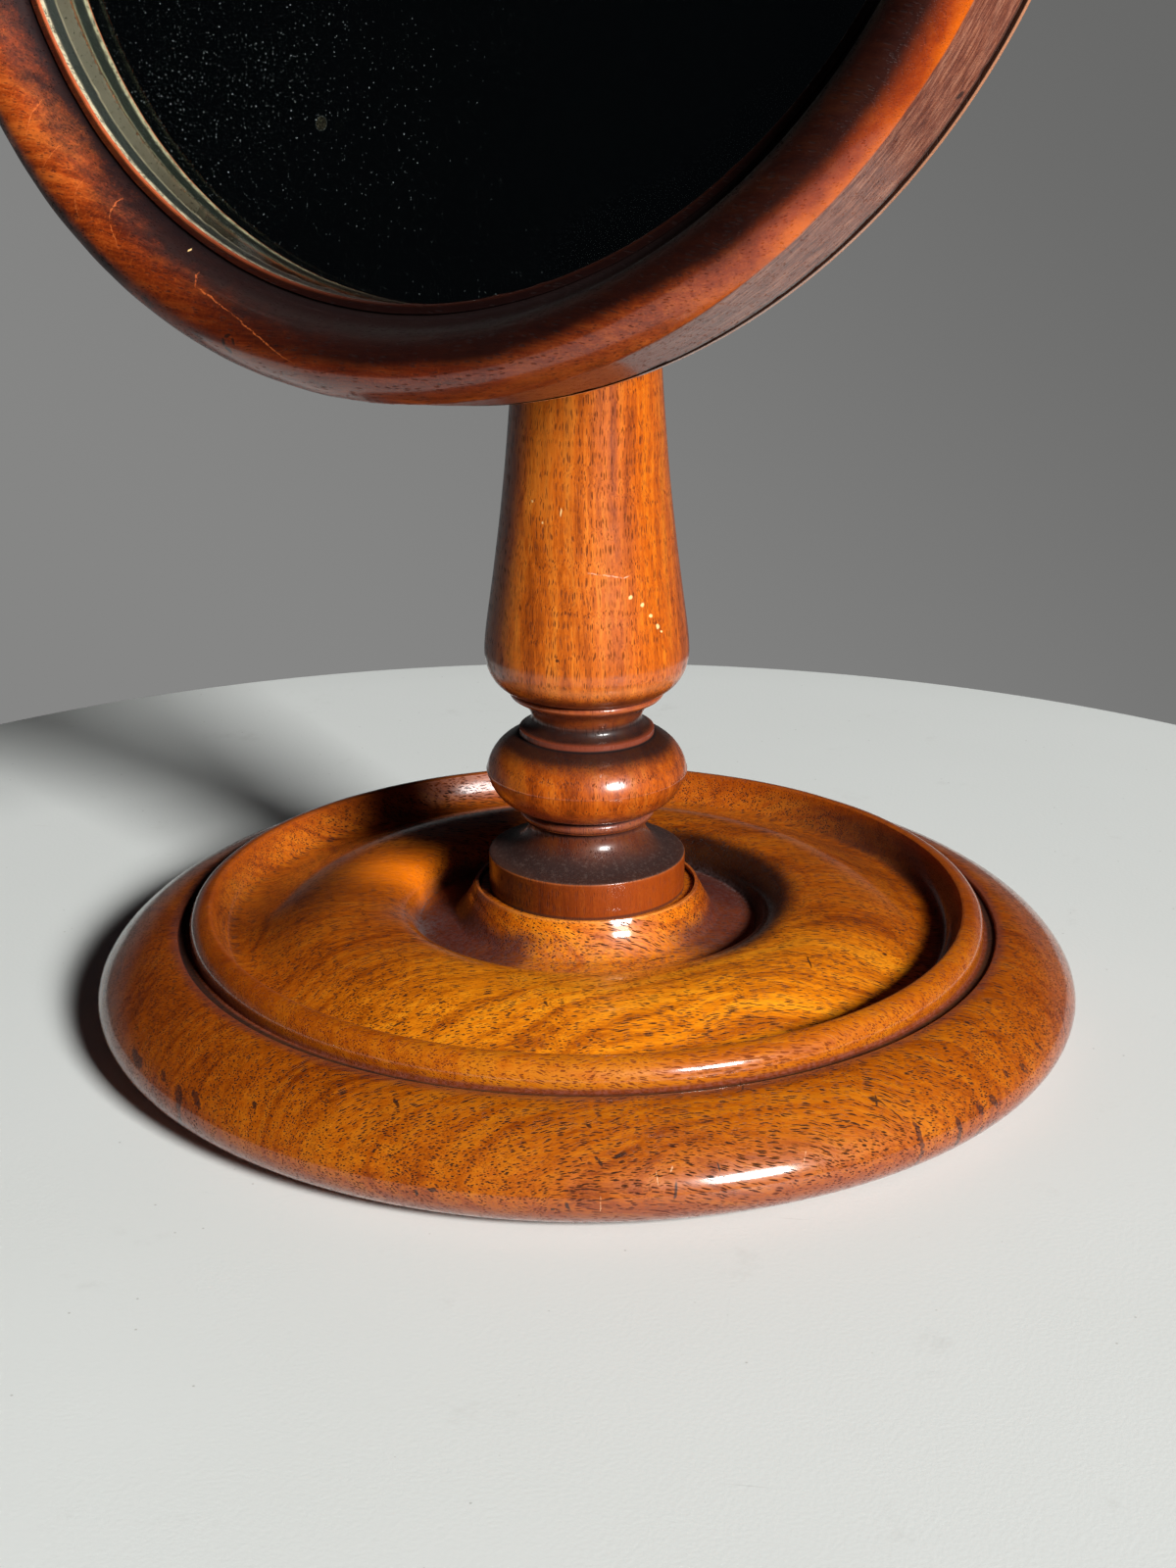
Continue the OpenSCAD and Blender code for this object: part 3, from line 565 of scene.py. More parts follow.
base = {
    "r": 125.4, "belly": (8.8, 9.6), "footR": 114, "borderZ": 24.6, "borderW": 20.8, "grooveW": 2.9, "grooveZ": 23.6,
    "rimW": 5.7, "rimRise": 6, "rimZ": 30.6, "dishD": 8.3, "dishZ": 22.3, "dishR": 90.5, "crownR": 61, "crownZ": 30.3,
    "wellZ": 23, "wellR": 43, "wellD": 7.3, "bossR": 28.5, "bossZ": 33.5, "seatR": 27.8, "footZ": 32.3, "bottom": 0.8,
    "arris": 0.6,
    "hidden": [(10.95, 32.3), (10.95, 12.9), (3.05, 12.9), (3.05, 6.8), (78.05, 6.8), (78.05, 0.8)],  # bore and recess
}


def baseOutline(b):
    arris = b["arris"]
    bellyH, bellyZ = b["belly"]
    foot, belly = (b["footR"], b["bottom"]), (b["r"], bellyZ)
    borderR = b["r"] - b["borderW"]
    rimSideR = borderR - b["grooveW"]
    rimR = rimSideR - b["rimW"]
    shoulder = (borderR + arris, b["borderZ"])
    points = [foot]
    points += curve(foot, (foot[0] + 0.55 * (b["r"] - foot[0]), b["bottom"]), (b["r"], bellyZ - 0.5 * bellyH), belly)
    swell = bellyZ + 0.4 * (b["borderZ"] - bellyZ)
    points += curve(belly, (b["r"], swell), (borderR + 0.42 * b["borderW"], b["borderZ"]), shoulder)
    points += oval((borderR + arris, b["borderZ"] - arris), (arris, arris), 90, 180, 5)
    points += [(borderR, b["grooveZ"]), (rimSideR, b["grooveZ"])]
    points += oval((rimR + arris, b["borderZ"] + 0.2 * b["rimRise"]), (b["rimW"] - arris, 0.8 * b["rimRise"]), 0, 90)
    rimTop = (rimR, b["rimZ"] - 0.5 * arris)
    points += [rimTop]
    dish, crown = (b["dishR"], b["dishZ"]), (b["crownR"], b["crownZ"])
    points += curve(rimTop, (rimR - 1.4, b["rimZ"] - 0.5 * b["dishD"]), (dish[0] + 2.6, dish[1]), dish)
    span = dish[0] - crown[0]
    points += curve(dish, (dish[0] - 0.26 * span, dish[1]), (crown[0] + 0.48 * span, crown[1]), crown)
    brink = (b["wellR"] + 2, b["wellZ"] + 0.27 * b["wellD"])
    well = (b["wellR"], b["wellZ"])
    bossFoot = (b["bossR"] + 6, b["wellZ"] + 0.16 * (b["bossZ"] - b["wellZ"]))
    points += curve(crown, (crown[0] - 7, crown[1]), (brink[0] + 2, crown[1]), brink)
    points += curve(brink, (brink[0] - 0.6, brink[1] - 1.2), (well[0] + 0.6, well[1]), well, 8)
    points += curve(well, (well[0] - 3, well[1] + 0.6), (bossFoot[0] + 1.7, bossFoot[1] - 0.34), bossFoot, 8)
    bossTop = (b["bossR"], b["bossZ"])
    points += curve(bossFoot, (bossFoot[0] - 1.7, bossFoot[1] + 0.34), (bossTop[0] + 2.2, bossTop[1] - 4.4), bossTop)
    return points + [(b["seatR"], b["bossZ"]), (b["seatR"], b["footZ"])] + b["hidden"]


baseLook = {
    "name": "mahoganyBase", "origin": (0, 0, 0), "turn": (0, 9, view["azimuth"] + 8),
    "deep": shade(160, 76, 10), "body": shade(214, 118, 17), "bright": shade(240, 150, 36), "late": 0.22,
    "sway": 0.022, "swayScale": 12, "ribbon": 70, "rings": (4, -46, 0.05, 1.5),
    "pore": (3.8, 0.43), "poreShare": 0.83, "poreDark": 0.94, "poreColour": shade(34, 13, 4), "clusters": 1.1,
    "hairShare": 0.62, "hairDark": 0.55, "porous": [((-22, -25, 27), (2, -31, 26), 8)],
    "mottle": 0.12, "rough": 0.42, "gloss": 0.12, "wave": 80, "waveDepth": 0.6, "grainDepth": 0.13,
    "face": ((0, 0, 0), (0, 0, view["azimuth"])), "faceFrom": -5, "scratched": (0.55, shade(236, 186, 140)),
    "scratches": [
        ((14.7, -121.5, 15.6), (15.1, -123.4, 13.1), 0.35), ((18.1, -120.5, 16.3), (17.4, -121.6, 15.1), 0.4),
        ((47.2, -112.8, 15.7), (46.7, -115.0, 13.4), 0.35), ((2.9, -125.0, 11.6), (2.9, -125.3, 7.4), 0.3),
    ],
    "dents": [
        ((-0.1, -113.4, 22.3), (0.9, -114.3, 21.9), 0.9), ((-1.5, -119.7, 18.2), (-0.9, -120.9, 17.1), 0.5),
        ((1.5, -120.0, 18.0), (2.4, -120.6, 17.4), 0.6), ((2.5, -120.5, 17.5), (3.5, -121.7, 16.4), 0.7),
        ((5.6, -120.2, 17.7), (8.6, -119.0, 18.6), 0.9), ((19.0, -122.4, 13.7), (18.6, -124.0, 10.1), 0.8),
        ((27.7, -118.8, 16.1), (28.5, -120.1, 14.3), 0.4), ((-4.5, -125.3, 10.2), (-3.5, -125.3, 8.2), 0.7),
        ((-7.3, -125.1, 8.7), (-7.2, -125.2, 7.7), 0.8), ((33.9, -95.8, 23.9), (34.3, -102.0, 24.3), 0.8),
        ((61.8, -98.1, 20.9), (65.1, -98.1, 19.7), 1.2), ((63.8, -96.7, 21.0), (63.9, -99.7, 19.3), 0.7),
        ((-42.1, -102.9, 23.3), (-40.8, -106.0, 22.3), 1.0), ((-74.3, -94.3, 17.9), (-73.4, -96.1, 17.1), 1.0),
        ((-36.5, -119.9, 10.1), (-36.1, -120.1, 8.8), 0.8), ((-34.0, -120.6, 10.7), (-31.8, -121.2, 10.6), 0.9),
        ((63.0, -97.4, 20.9), (66.4, -98.8, 18.8), 0.45), ((66.4, -98.8, 18.8), (71.1, -100.5, 14.8), 0.45),
        ((-9.9, -66.6, 29.7), (-9.0, -68.5, 29.4), 0.8), ((-45.1, -69.4, 24.3), (-42.4, -68.3, 25.3), 0.7),
        ((-49.9, -66.7, 24.1), (-48.1, -66.0, 24.7), 0.6), ((-72.0, 5.2, 28.5), (-68.8, 3.7, 29.4), 0.6),
        ((53.3, -41.0, 29.7), (53.9, -46.5, 28.8), 0.6), ((27.3, -13.4, 29.7), (27.3, -15.2, 28.3), 0.6),
        ((13.6, -32.8, 24.5), (21.7, -28.9, 24.3), 0.5),
    ],
    "blots": [
        ((95.6, -75.3), (97.2, -75.8), 1.5), ((87.7, -87.3), (89.7, -87.0), 1.9), ((91.1, -84.1), (93.9, -82.7), 1.4),
        ((100.4, -70.9), (103.1, -69.6), 1.7), ((105.6, -60.8), (108.3, -60.6), 1.3), ((82.3, -93.5), (84.1, -93.0), 1.4),
        ((72, -99), (75, -102), 1.6), ((-107.8, -59.8), (-103.9, -68.4), 1.5), ((-98.6, -72.9), (-96.8, -77.2), 1.3),
        ((-93.9, -79.4), (-92.3, -85.1), 1.5), ((-89.7, -83.2), (-87.2, -88.4), 1.2),
    ],
}
baseEdges = {  # mm from the axis, or above the table, over which a tone comes or goes
    "border": (103.5, 104.5), "grooveTop": (24.0, 25.2), "lilac": (101.8, 103.0), "foot": (4, 14), "footOut": (110, 118),
}
baseRings = {  # mm from the axis where a tone, dust, painted shade or lost gloss starts, is full, fades and ends
    "groove": (97.0, 98.4, 104.1, 104.9), "quirk": (104.0, 104.6, 105.2, 108.0), "well": (29.6, 31.8, 44.0, 45.8),
    "wall": (43.1, 43.7, 49.5, 57.0), "brow": (42.4, 42.9, 43.1, 43.7), "corner": (88.0, 92.5, 95.2, 96.2),
    "boss": (28.5, 28.8, 39.0, 43.0), "rim": (94.5, 96.0, 102.0, 103.0), "slope": (93.0, 94.0, 96.6, 97.2),
    "upperSheen": (29.1, 29.3, 29.7, 29.9), "lowerSheen": (30.4, 30.8, 36.0, 40.0), "bossSheen": (28.6, 28.9, 40.0, 42.0),
}
basePatches = {  # azimuth from the camera, mm from the axis, width and depth in mm: the first is a painted shadow, the second a painted pool of light, the third real dust
    "cloud": (-94, 76.5, 19, 23), "glow": (-107, 52, 9, 11), "dust": (-78, 44.8, 5, 9),
}


def baseStain(wood, colour, rough):
    x, y, z, radius, towards = wood.around()
    cloud = wood.noise(wood.placed(), 40, 3)
    dust = wood.noise(wood.placed(), 900, 4, 0.7)
    wander = cloud - 0.5
    past, before = wood.steps(baseEdges)

    def ring(name, near=0, far=0):  # its edges wander by up to half of near and far, in mm
        inner = radius + wander * (near * mm) if near else radius
        outer = radius + wander * (far * mm) if far else radius
        return wood.within(inner, baseRings[name], outer)

    def patch(name):
        azimuth, distance, width, depth = basePatches[name]
        return wood.patch(x, y, view["azimuth"] + azimuth, distance, width, depth)

    ahead, right = towards(view["azimuth"] + 12), towards(view["azimuth"] + 98)
    # painted light and shade: the dish is lighter and yellower towards the camera and darker on the sides, the border
    # darker all round and most on the sides
    front = wood.rise(ahead + wander * 0.5, 0.25, 1.0)
    dishLightAndShade = wood.mix(front, (0.66, 0.50, 0.38, 1), (1.12, 1.16, 0.62, 1))
    borderLightAndShade = wood.mix(front, (0.48, 0.33, 0.29, 1), (0.57, 0.47, 0.22, 1))
    colour = wood.mix(1.0, colour, wood.mix(past("border", radius), dishLightAndShade, borderLightAndShade), "MULTIPLY")
    # the groove is darkened all round: painted shade, with lilac dust on its inner side
    groove = ring("groove") * before("grooveTop", z)
    lilac = wood.rise(dust, 0.42, 0.60) * before("lilac", radius)
    quirk = ring("quirk", far=3)
    well = ring("well", near=5, far=3)
    cleaned = wood.rise(ahead + wander * 0.3, 0.70, 0.94) * 0.85
    # painted shade: the well's outer wall is darkened nearly to black on the right, where it faces away from the lamp
    paintedWallShade = wood.rise(right, 0.05, 0.75) * ring("wall", far=6)
    dusty = (well * 0.35 + ring("brow") * 0.6) * wood.rise(dust, 0.40, 0.60)
    dusty = (dusty + patch("dust") * wood.rise(dust, 0.30, 0.56) * 0.9).least(1.0)
    # painted shade on the rim's inner wall: light all round, deep on the right, where the wall faces away from the lamp
    corner = ring("corner", near=4) * (wood.rise(right, 0.55, 0.93) * 0.62 + 0.12)
    foot = before("foot", z + wander * (6 * mm)) * past("footOut", radius)
    colour = wood.coated(colour, [
        (groove * 0.92, wood.mix(lilac, shade(28, 18, 17), shade(98, 72, 72))),
        (quirk * (0.3 + cloud * 0.5), shade(92, 46, 44)),
        (well * (1 - cleaned) * (0.66 + cloud * 0.4), shade(74, 34, 28)),
        # a painted shadow lies on the dish's left
        (paintedWallShade * 0.93, shade(22, 10, 9)), (patch("cloud") * 0.74, shade(60, 28, 8)),
        # a painted pool of light lies on the crown's inner wall
        (patch("glow") * 0.85, shade(255, 128, 10)), (dusty * 0.7, shade(98, 80, 78)), (corner, shade(58, 34, 28)),
    ])
    colour = wood.tinted(ring("boss"), colour, (0.86, 0.74, 0.80, 1))
    colour = wood.coated(colour, [(ring("rim") * 0.6, shade(140, 58, 4)), (foot * 0.6, shade(112, 40, 24))])
    brokenSheen = (ring("upperSheen") + ring("lowerSheen") + ring("bossSheen") * 0.6).least(1.0)
    matt = groove * 0.95 + well * 0.35 + dusty * 0.6 + quirk * 0.3
    matt = matt + brokenSheen * 0.9 + ring("slope") * 0.8 + paintedWallShade * 0.6
    return colour, rough + groove * 0.3 + dusty * 0.3, matt


baseDisc = turned("baseDisc", baseOutline(base), 256, spacing=1.1, ripple=0.09, nicks=0.2)
dress(baseDisc, mahogany(baseLook, baseStain), "stand", "mahogany_base", "base_disc")


# column

column = {
    "foot": (25.1, 32.3, 42.0), "hollow": (14.6, 9.7), "lowFillet": (17.2, 51.7, 54.4), "knop": (25.4, 19.4, 64.1),
    "highFillet": (17, 73.8, 75.3), "smallNeck": (13.3, 8.2), "lipRing": (19.4, 83.5, 85.4),
    "baluster": (25.5, 9.9, 95.3, 7.5), "taper": (16.6, 119.5, 214.8), "beadFillet": (19, 227.8, 229.4),
    "bead": (21.8, 238.4, 240.0), "topHollow": 16.8, "cap": (21.4, 253.8, 261.9, 17), "arris": 0.6,
    "tenon": [(0, 13.3), (10.9, 13.3), (10.9, 32.3)], "bore": [(6.05, 261.9), (6.05, 224), (0, 224)],
}


def columnOutline(c):
    arris = c["arris"]
    footR, footZ, hollowZ = c["foot"]
    hollowR, hollowH = c["hollow"]
    lowR, lowZ, knopZ = c["lowFillet"]
    points = [(footR, footZ)] + oval((footR - arris, hollowZ - arris), (arris, arris), 0, 90, 5)
    start = (footR - arris, hollowZ)
    stop = (hollowR, lowZ - 0.1 * hollowH)
    points += curve(start, (hollowR + 3.4, hollowZ + 0.1 * hollowH), (hollowR, hollowZ + 0.45 * hollowH), stop)
    points += [(lowR - arris, lowZ)] + halfRound(lowR, lowZ, knopZ, -70, 60, 10)
    knopR, knopH, middle = c["knop"]                     # two arcs that meet in a faint ridge
    highR, highZ, neckZ = c["highFillet"]
    ballR, lift = 0.59 * knopH, 0.085 * knopH
    ridge = degrees(asin(lift / ballR))
    ballX = knopR - ballR * cos(radians(ridge))
    points += oval((ballX, middle + lift), (ballR, ballR), -degrees(acos((lowR - ballX) / ballR)), -ridge - 1, 20)
    points += [(knopR + 0.05, middle - 0.15), (knopR + 0.05, middle + 0.15)]
    points += oval((ballX, middle - lift), (ballR, ballR), ridge + 1, degrees(acos((highR - ballX) / ballR)), 20)
    points += [(highR, highZ + 0.25), (highR, neckZ - 0.25)]
    neckR, neckH = c["smallNeck"]
    ringR, ringZ, balusterZ = c["lipRing"]
    start = (highR - 0.4, neckZ)
    ringFoot = (ringR - arris, ringZ)
    points += [start] + curve(start, (neckR, neckZ + 0.1 * neckH), (neckR - 1, neckZ + 0.6 * neckH), ringFoot)
    points += halfRound(ringR, ringZ, balusterZ, -60, 60, 10)
    wideR, roundH, taperZ, roundW = c["baluster"]
    points += [(ringR - 0.3, balusterZ)]
    first = -degrees(acos((ringR + 0.5 - wideR + roundW) / roundW))
    points += oval((wideR - roundW, taperZ), (roundW, roundH), first, 0, 24)
    endR, taperH, flareZ = c["taper"]
    start, stop = (wideR, taperZ), (endR, flareZ)
    points += curve(start, (wideR, taperZ + 0.088 * taperH), (endR + 0.2, taperZ + 0.372 * taperH), stop, 60)
    filletR, filletZ, beadZ = c["beadFillet"]
    points += curve(stop, (endR, flareZ + 5), (filletR - 4, filletZ - 1), (filletR - 1, filletZ))
    points += oval((filletR - 0.8, filletZ + 0.8), (0.8, 0.8), -70, 70, 8)
    beadR, beadTop, hollowTop = c["bead"]
    points += halfRound(beadR, beadZ, beadTop, -65, 65, 20)
    capR, capZ, topZ, flatR = c["cap"]
    start, narrow = (filletR - 0.6, hollowTop), c["topHollow"]
    points += [start] + curve(start, (narrow - 0.6, hollowTop + 4), (narrow - 0.4, capZ - 4), (capR, capZ))
    capH = topZ - capZ
    points += [(capR, capZ + 0.3 * capH)]
    points += curve(points[-1], (capR, capZ + 0.8 * capH), (flatR + 2, topZ), (flatR, topZ))
    return points


columnLook = {
    "name": "mahoganyColumn", "origin": (0, 0, 0), "turn": (0, -90, 0),
    "deep": shade(136, 58, 10), "body": shade(194, 94, 18), "bright": shade(222, 126, 38), "late": 0.3,
    "sway": 0.006, "swayScale": 9, "ribbon": 130, "rings": (-70, 40, 0.02, 2.4),
    "pore": (3.6, 0.42), "poreShare": 0.52, "poreDark": 0.75, "poreColour": shade(74, 30, 8), "clusters": 0.8,
    "hairShare": 0.6, "hairDark": 0.5,
    "mottle": 0.1, "rough": 0.44, "gloss": 0.18, "wave": 90, "waveDepth": 0.5, "grainDepth": 0.09,
    "face": ((0, 0, 0), (90, 0, view["azimuth"])), "faceFrom": 5, "scratched": (0.6, shade(236, 180, 150)),
    "scratches": [
        ((0.1, 120.3), (2.8, 119.8), 0.35), ((2.8, 119.8), (8.4, 118.9), 0.35), ((8.4, 118.9), (10.1, 119.2), 0.35),
    ],
    "chips": [
        ((10.3, 114.3), (10.8, 113.6), 1.0), ((13.1, 112.1), (13.5, 111.2), 1.0), ((15.2, 109.3), (15.6, 108.3), 0.7),
        ((16.9, 106.3), (17.4, 105.2), 0.7), ((17.8, 104.6), (18.0, 104.1), 0.5), ((-6.2, 135.2), (-6.2, 133.3), 0.35),
        ((-10.6, 131.7), (-10.3, 131.0), 0.5), ((-13.1, 136.4), (-12.8, 135.9), 0.5),
    ],
    "dents": [((-7.1, 99.4), (-6.8, 98.8), 0.9)],
}
columnBands = {  # mm above the table from and to, how soft the edges are, share, colour, how much gloss is lost
    # darker bands at the baluster's foot, under the lip ring, on the knop's top and under the knop
    "balusterFootDark": (85.4, 89.0, 1.2, 0.72, shade(76, 28, 12), 0.3),
    "bottom": (90.0, 92.2, 1.4, 0.22, shade(226, 160, 110), 0.2),
    "ring": (83.6, 85.4, 0.3, 0.5, shade(140, 66, 44), 0),
    "neck": (77.5, 83.6, 1.2, 0.62, shade(92, 38, 18), 0),
    "neckDark": (74.2, 79.0, 1.6, 0.94, shade(24, 16, 17), 0.5),
    "knopTopDark": (70.6, 75.0, 1.5, 0.94, shade(24, 16, 16), 0.5),
    "fillet": (73.8, 75.3, 0.3, 0.85, shade(124, 54, 32), 0),
    "knopShade": (68.4, 71.6, 1.8, 0.3, shade(84, 36, 16), 0),
    "knopUnderDark": (54.3, 56.2, 0.9, 0.8, shade(48, 28, 24), 0),
    "lowFillet": (51.7, 54.4, 0.3, 0.66, shade(96, 54, 48), 0.3),
    "hollow": (42.0, 51.7, 1.0, 0.85, shade(58, 25, 18), 0.4),
}
discBands = {"seat": (32.0, 33.1, 0.2, 0.7, shade(52, 34, 28), 0.7)}
columnEdges = {  # mm above the table over which a tone comes or goes
    "lower": (84.5, 87.5), "sides": (88, 94), "topFaceIn": (41.5, 41.9), "topFaceOut": (43.2, 48.6), "disc": (41.2, 41.8),
}


def columnStain(wood, colour, rough):
    _, _, z, _, towards = wood.around()
    cloud = wood.noise(wood.placed(), 60, 3)
    dust = wood.noise(wood.placed(), 1000, 4, 0.7)
    past, before = wood.steps(columnEdges)

    def banded(colour, matt, bands):
        for low, high, soft, share, tint, dull in bands.values():
            height = z + (cloud - 0.5) * (soft * 1.2 * mm)
            band = wood.within(height, (low - soft, low + soft, high - soft, high + soft))
            colour = wood.mix(band * share, colour, tint)
            matt = matt + band * dull if dull else matt
        return colour, matt

    colour = wood.tinted(before("lower", z), colour, (0.80, 0.70, 0.56, 1))
    # painted light and shade: the column's left side, away from the lamp, is darkened, and its lit right side made
    # warmer
    right = towards(view["azimuth"] + 70)
    sides = wood.mix(wood.rise(right, 0.3, 0.95), (1, 1, 1, 1), (0.90, 0.80, 0.30, 1))
    sides = wood.mix(wood.fall(right, -0.85, -0.40), sides, (0.38, 0.40, 0.34, 1))
    colour = wood.tinted(past("sides", z), colour, sides)
    topFace = past("topFaceIn", z) * before("topFaceOut", z + (cloud - 0.5) * (4 * mm))
    disc = before("disc", z)
    colour, matt = banded(colour, topFace * 0.75 + disc * 0.6, columnBands)
    dusty = wood.mix(wood.rise(dust, 0.50, 0.68) * 0.35, shade(48, 34, 32), shade(100, 84, 78))
    # painted light and shade: the disc's side is dark on the left and orange on the lamp's side
    discSideShading = wood.mix(wood.rise(right, -0.5, 0.8), shade(52, 18, 9), shade(138, 56, 12))
    colour = wood.coated(colour, [(topFace * 0.92, dusty), (disc * (0.58 + dust * 0.5), discSideShading)])
    colour, matt = banded(colour, matt, discBands)
    return colour, rough + topFace * 0.15, matt


columnPath = column["tenon"] + columnOutline(column) + column["bore"]
columnPiece = turned("turnedColumn", columnPath, 176, ripple=0.06)
dress(columnPiece, mahogany(columnLook, columnStain), "stand", "mahogany_column", "column")


# mirror

mirror = {
    "pivotZ": 298.9, "tilt": 9.2, "reach": 60, "openingR": 120.3, "frameR": 141, "lip": (6, 2), "rollW": 7.8, "rollH": 11,
    "rollEdge": 3.5, "depth": 15, "rabbetR": 128, "glass": (124.5, 54, 49), "silver": 48.8, "felt": 47.6, "spigotR": 127.7,
    "backGroove": (1.6, 1.8), "boardBack": 41.4, "bossR": 27, "bossBack": 24, "arris": 0.6,
}
onGlass = ((0, 0, mirror["pivotZ"] * mm), (90 - mirror["tilt"], 0, 0))  # x to the right, y up, z out of the glass
onMirror = Matrix.Translation((0, 0, mirror["pivotZ"] * mm)) @ Matrix.Rotation(radians(90 - mirror["tilt"]), 4, "X")


def faceOutline(m):  # from the opening outwards over the lip, the hollow and the roll
    frameR, rollW, rollH, edgeZ = m["frameR"], m["rollW"], m["rollH"], m["rollEdge"]
    lipOut = m["openingR"] + m["lip"][1]
    crestR, a = frameR - rollW, rollW + 1.6
    share = sqrt(1 - (rollW / a) ** 2)
    rollZ = (edgeZ - share * rollH) / (1 - share)
    b = rollH - rollZ
    innerA = 139
    innerW = 7.4
    inner = oval((crestR, rollZ + b - innerW), (innerW, innerW), innerA, 90, 16)
    join = inner[0]
    points = [(m["openingR"], -0.3), (m["openingR"] + 0.3, 0), (lipOut, 0), (lipOut + 0.1, -0.4)]
    points += curve(points[-1], (join[0] - 1.6, -0.6), (join[0] - 2.3, join[1] - 2.6), join) + inner[1:]
    points += oval((crestR, rollZ), (a, b), 90, degrees(acos(rollW / a)), 24)[1:]
    return points


def lifted(points, height):
    return [(radius, z + height) for radius, z in points]


frameLook = {
    "name": "mahoganyFrame", "origin": onGlass[0], "turn": onGlass[1],
    "deep": shade(104, 34, 9), "body": shade(158, 62, 16), "bright": shade(204, 100, 36), "late": 0.25,
    "sway": 0.02, "swayScale": 9, "ribbon": 70, "rings": (30, -80, 0.03, 2.2),
    "pore": (2.6, 0.5), "poreShare": 0.45, "poreDark": 0.55, "poreColour": shade(38, 14, 8), "clusters": 0.9,
    "hairShare": 0.55, "hairDark": 0.4,
    "mottle": 0.4, "rough": 0.44, "gloss": 0.15, "wave": 70, "waveDepth": 0.6, "grainDepth": 0.08,
    "face": onGlass, "faceFrom": 46, "scratched": (0.6, shade(205, 105, 50)),
    "scratches": [
        ((-95.2, -82.7), (-94.5, -93.1), 0.26), ((-86.9, -92.4), (-89.0, -98.2), 0.26),
        ((-79.1, -99.3), (-79.4, -104.0), 0.26), ((-79.4, -104.0), (-77.5, -108.0), 0.26),
        ((-71.8, -103.0), (-69.4, -108.6), 0.26), ((-69.4, -108.6), (-64.8, -114.6), 0.26),
        ((-46.3, -117.5), (-43.6, -120.6), 0.26), ((-43.6, -120.6), (-32.6, -125.4), 0.3),
        ((-32.6, -125.4), (-13.1, -135.0), 0.3),
    ],
    "chips": [((-52.9, -112.7), (-52.6, -113.3), 0.4)],
    "dents": [
        ((-33.6, -130.4), (-31.4, -130.0), 1.0), ((-33.8, -130.6), (-34.2, -132.6), 1.1),
        ((-34.0, -132.6), (-32.4, -133.7), 1.2), ((-31.0, -130.6), (-30.8, -132.2), 0.9),
        ((119.8, -74.0, 48.9), (120.9, -72.5, 47.2), 1.5),
    ],
    "blots": [((-73, -117), (-68, -120), 4), ((-95, -102), (-91, -106), 3.5), ((-60, -124), (-55, -126), 2.5)],
}
frameEdges = {  # mm over which a tone comes or goes, from the mirror's middle or along its axis
    "hollowIn": (121.8, 122.6), "hollowOut": (124.2, 131.0), "rollDirt": (134.8, 137.0), "wall": (120.4, 120.55),
    "wallTop": (59.3, 59.6), "slip": (57.4, 58.2), "slipWorn": (58.0, 58.4), "slipFoot": (54.4, 54.8),
    "lipIn": (120.8, 121.0), "lipOut": (122.0, 122.6), "arris": (120.7, 120.9), "side": (140.0, 140.8),
    "sideFront": (63.2, 63.8), "sideBack": (45.4, 46.2), "glow": (133.0, 137.2), "crest": (138.4, 140.7),
    "inner": (132.2, 137.2),
}


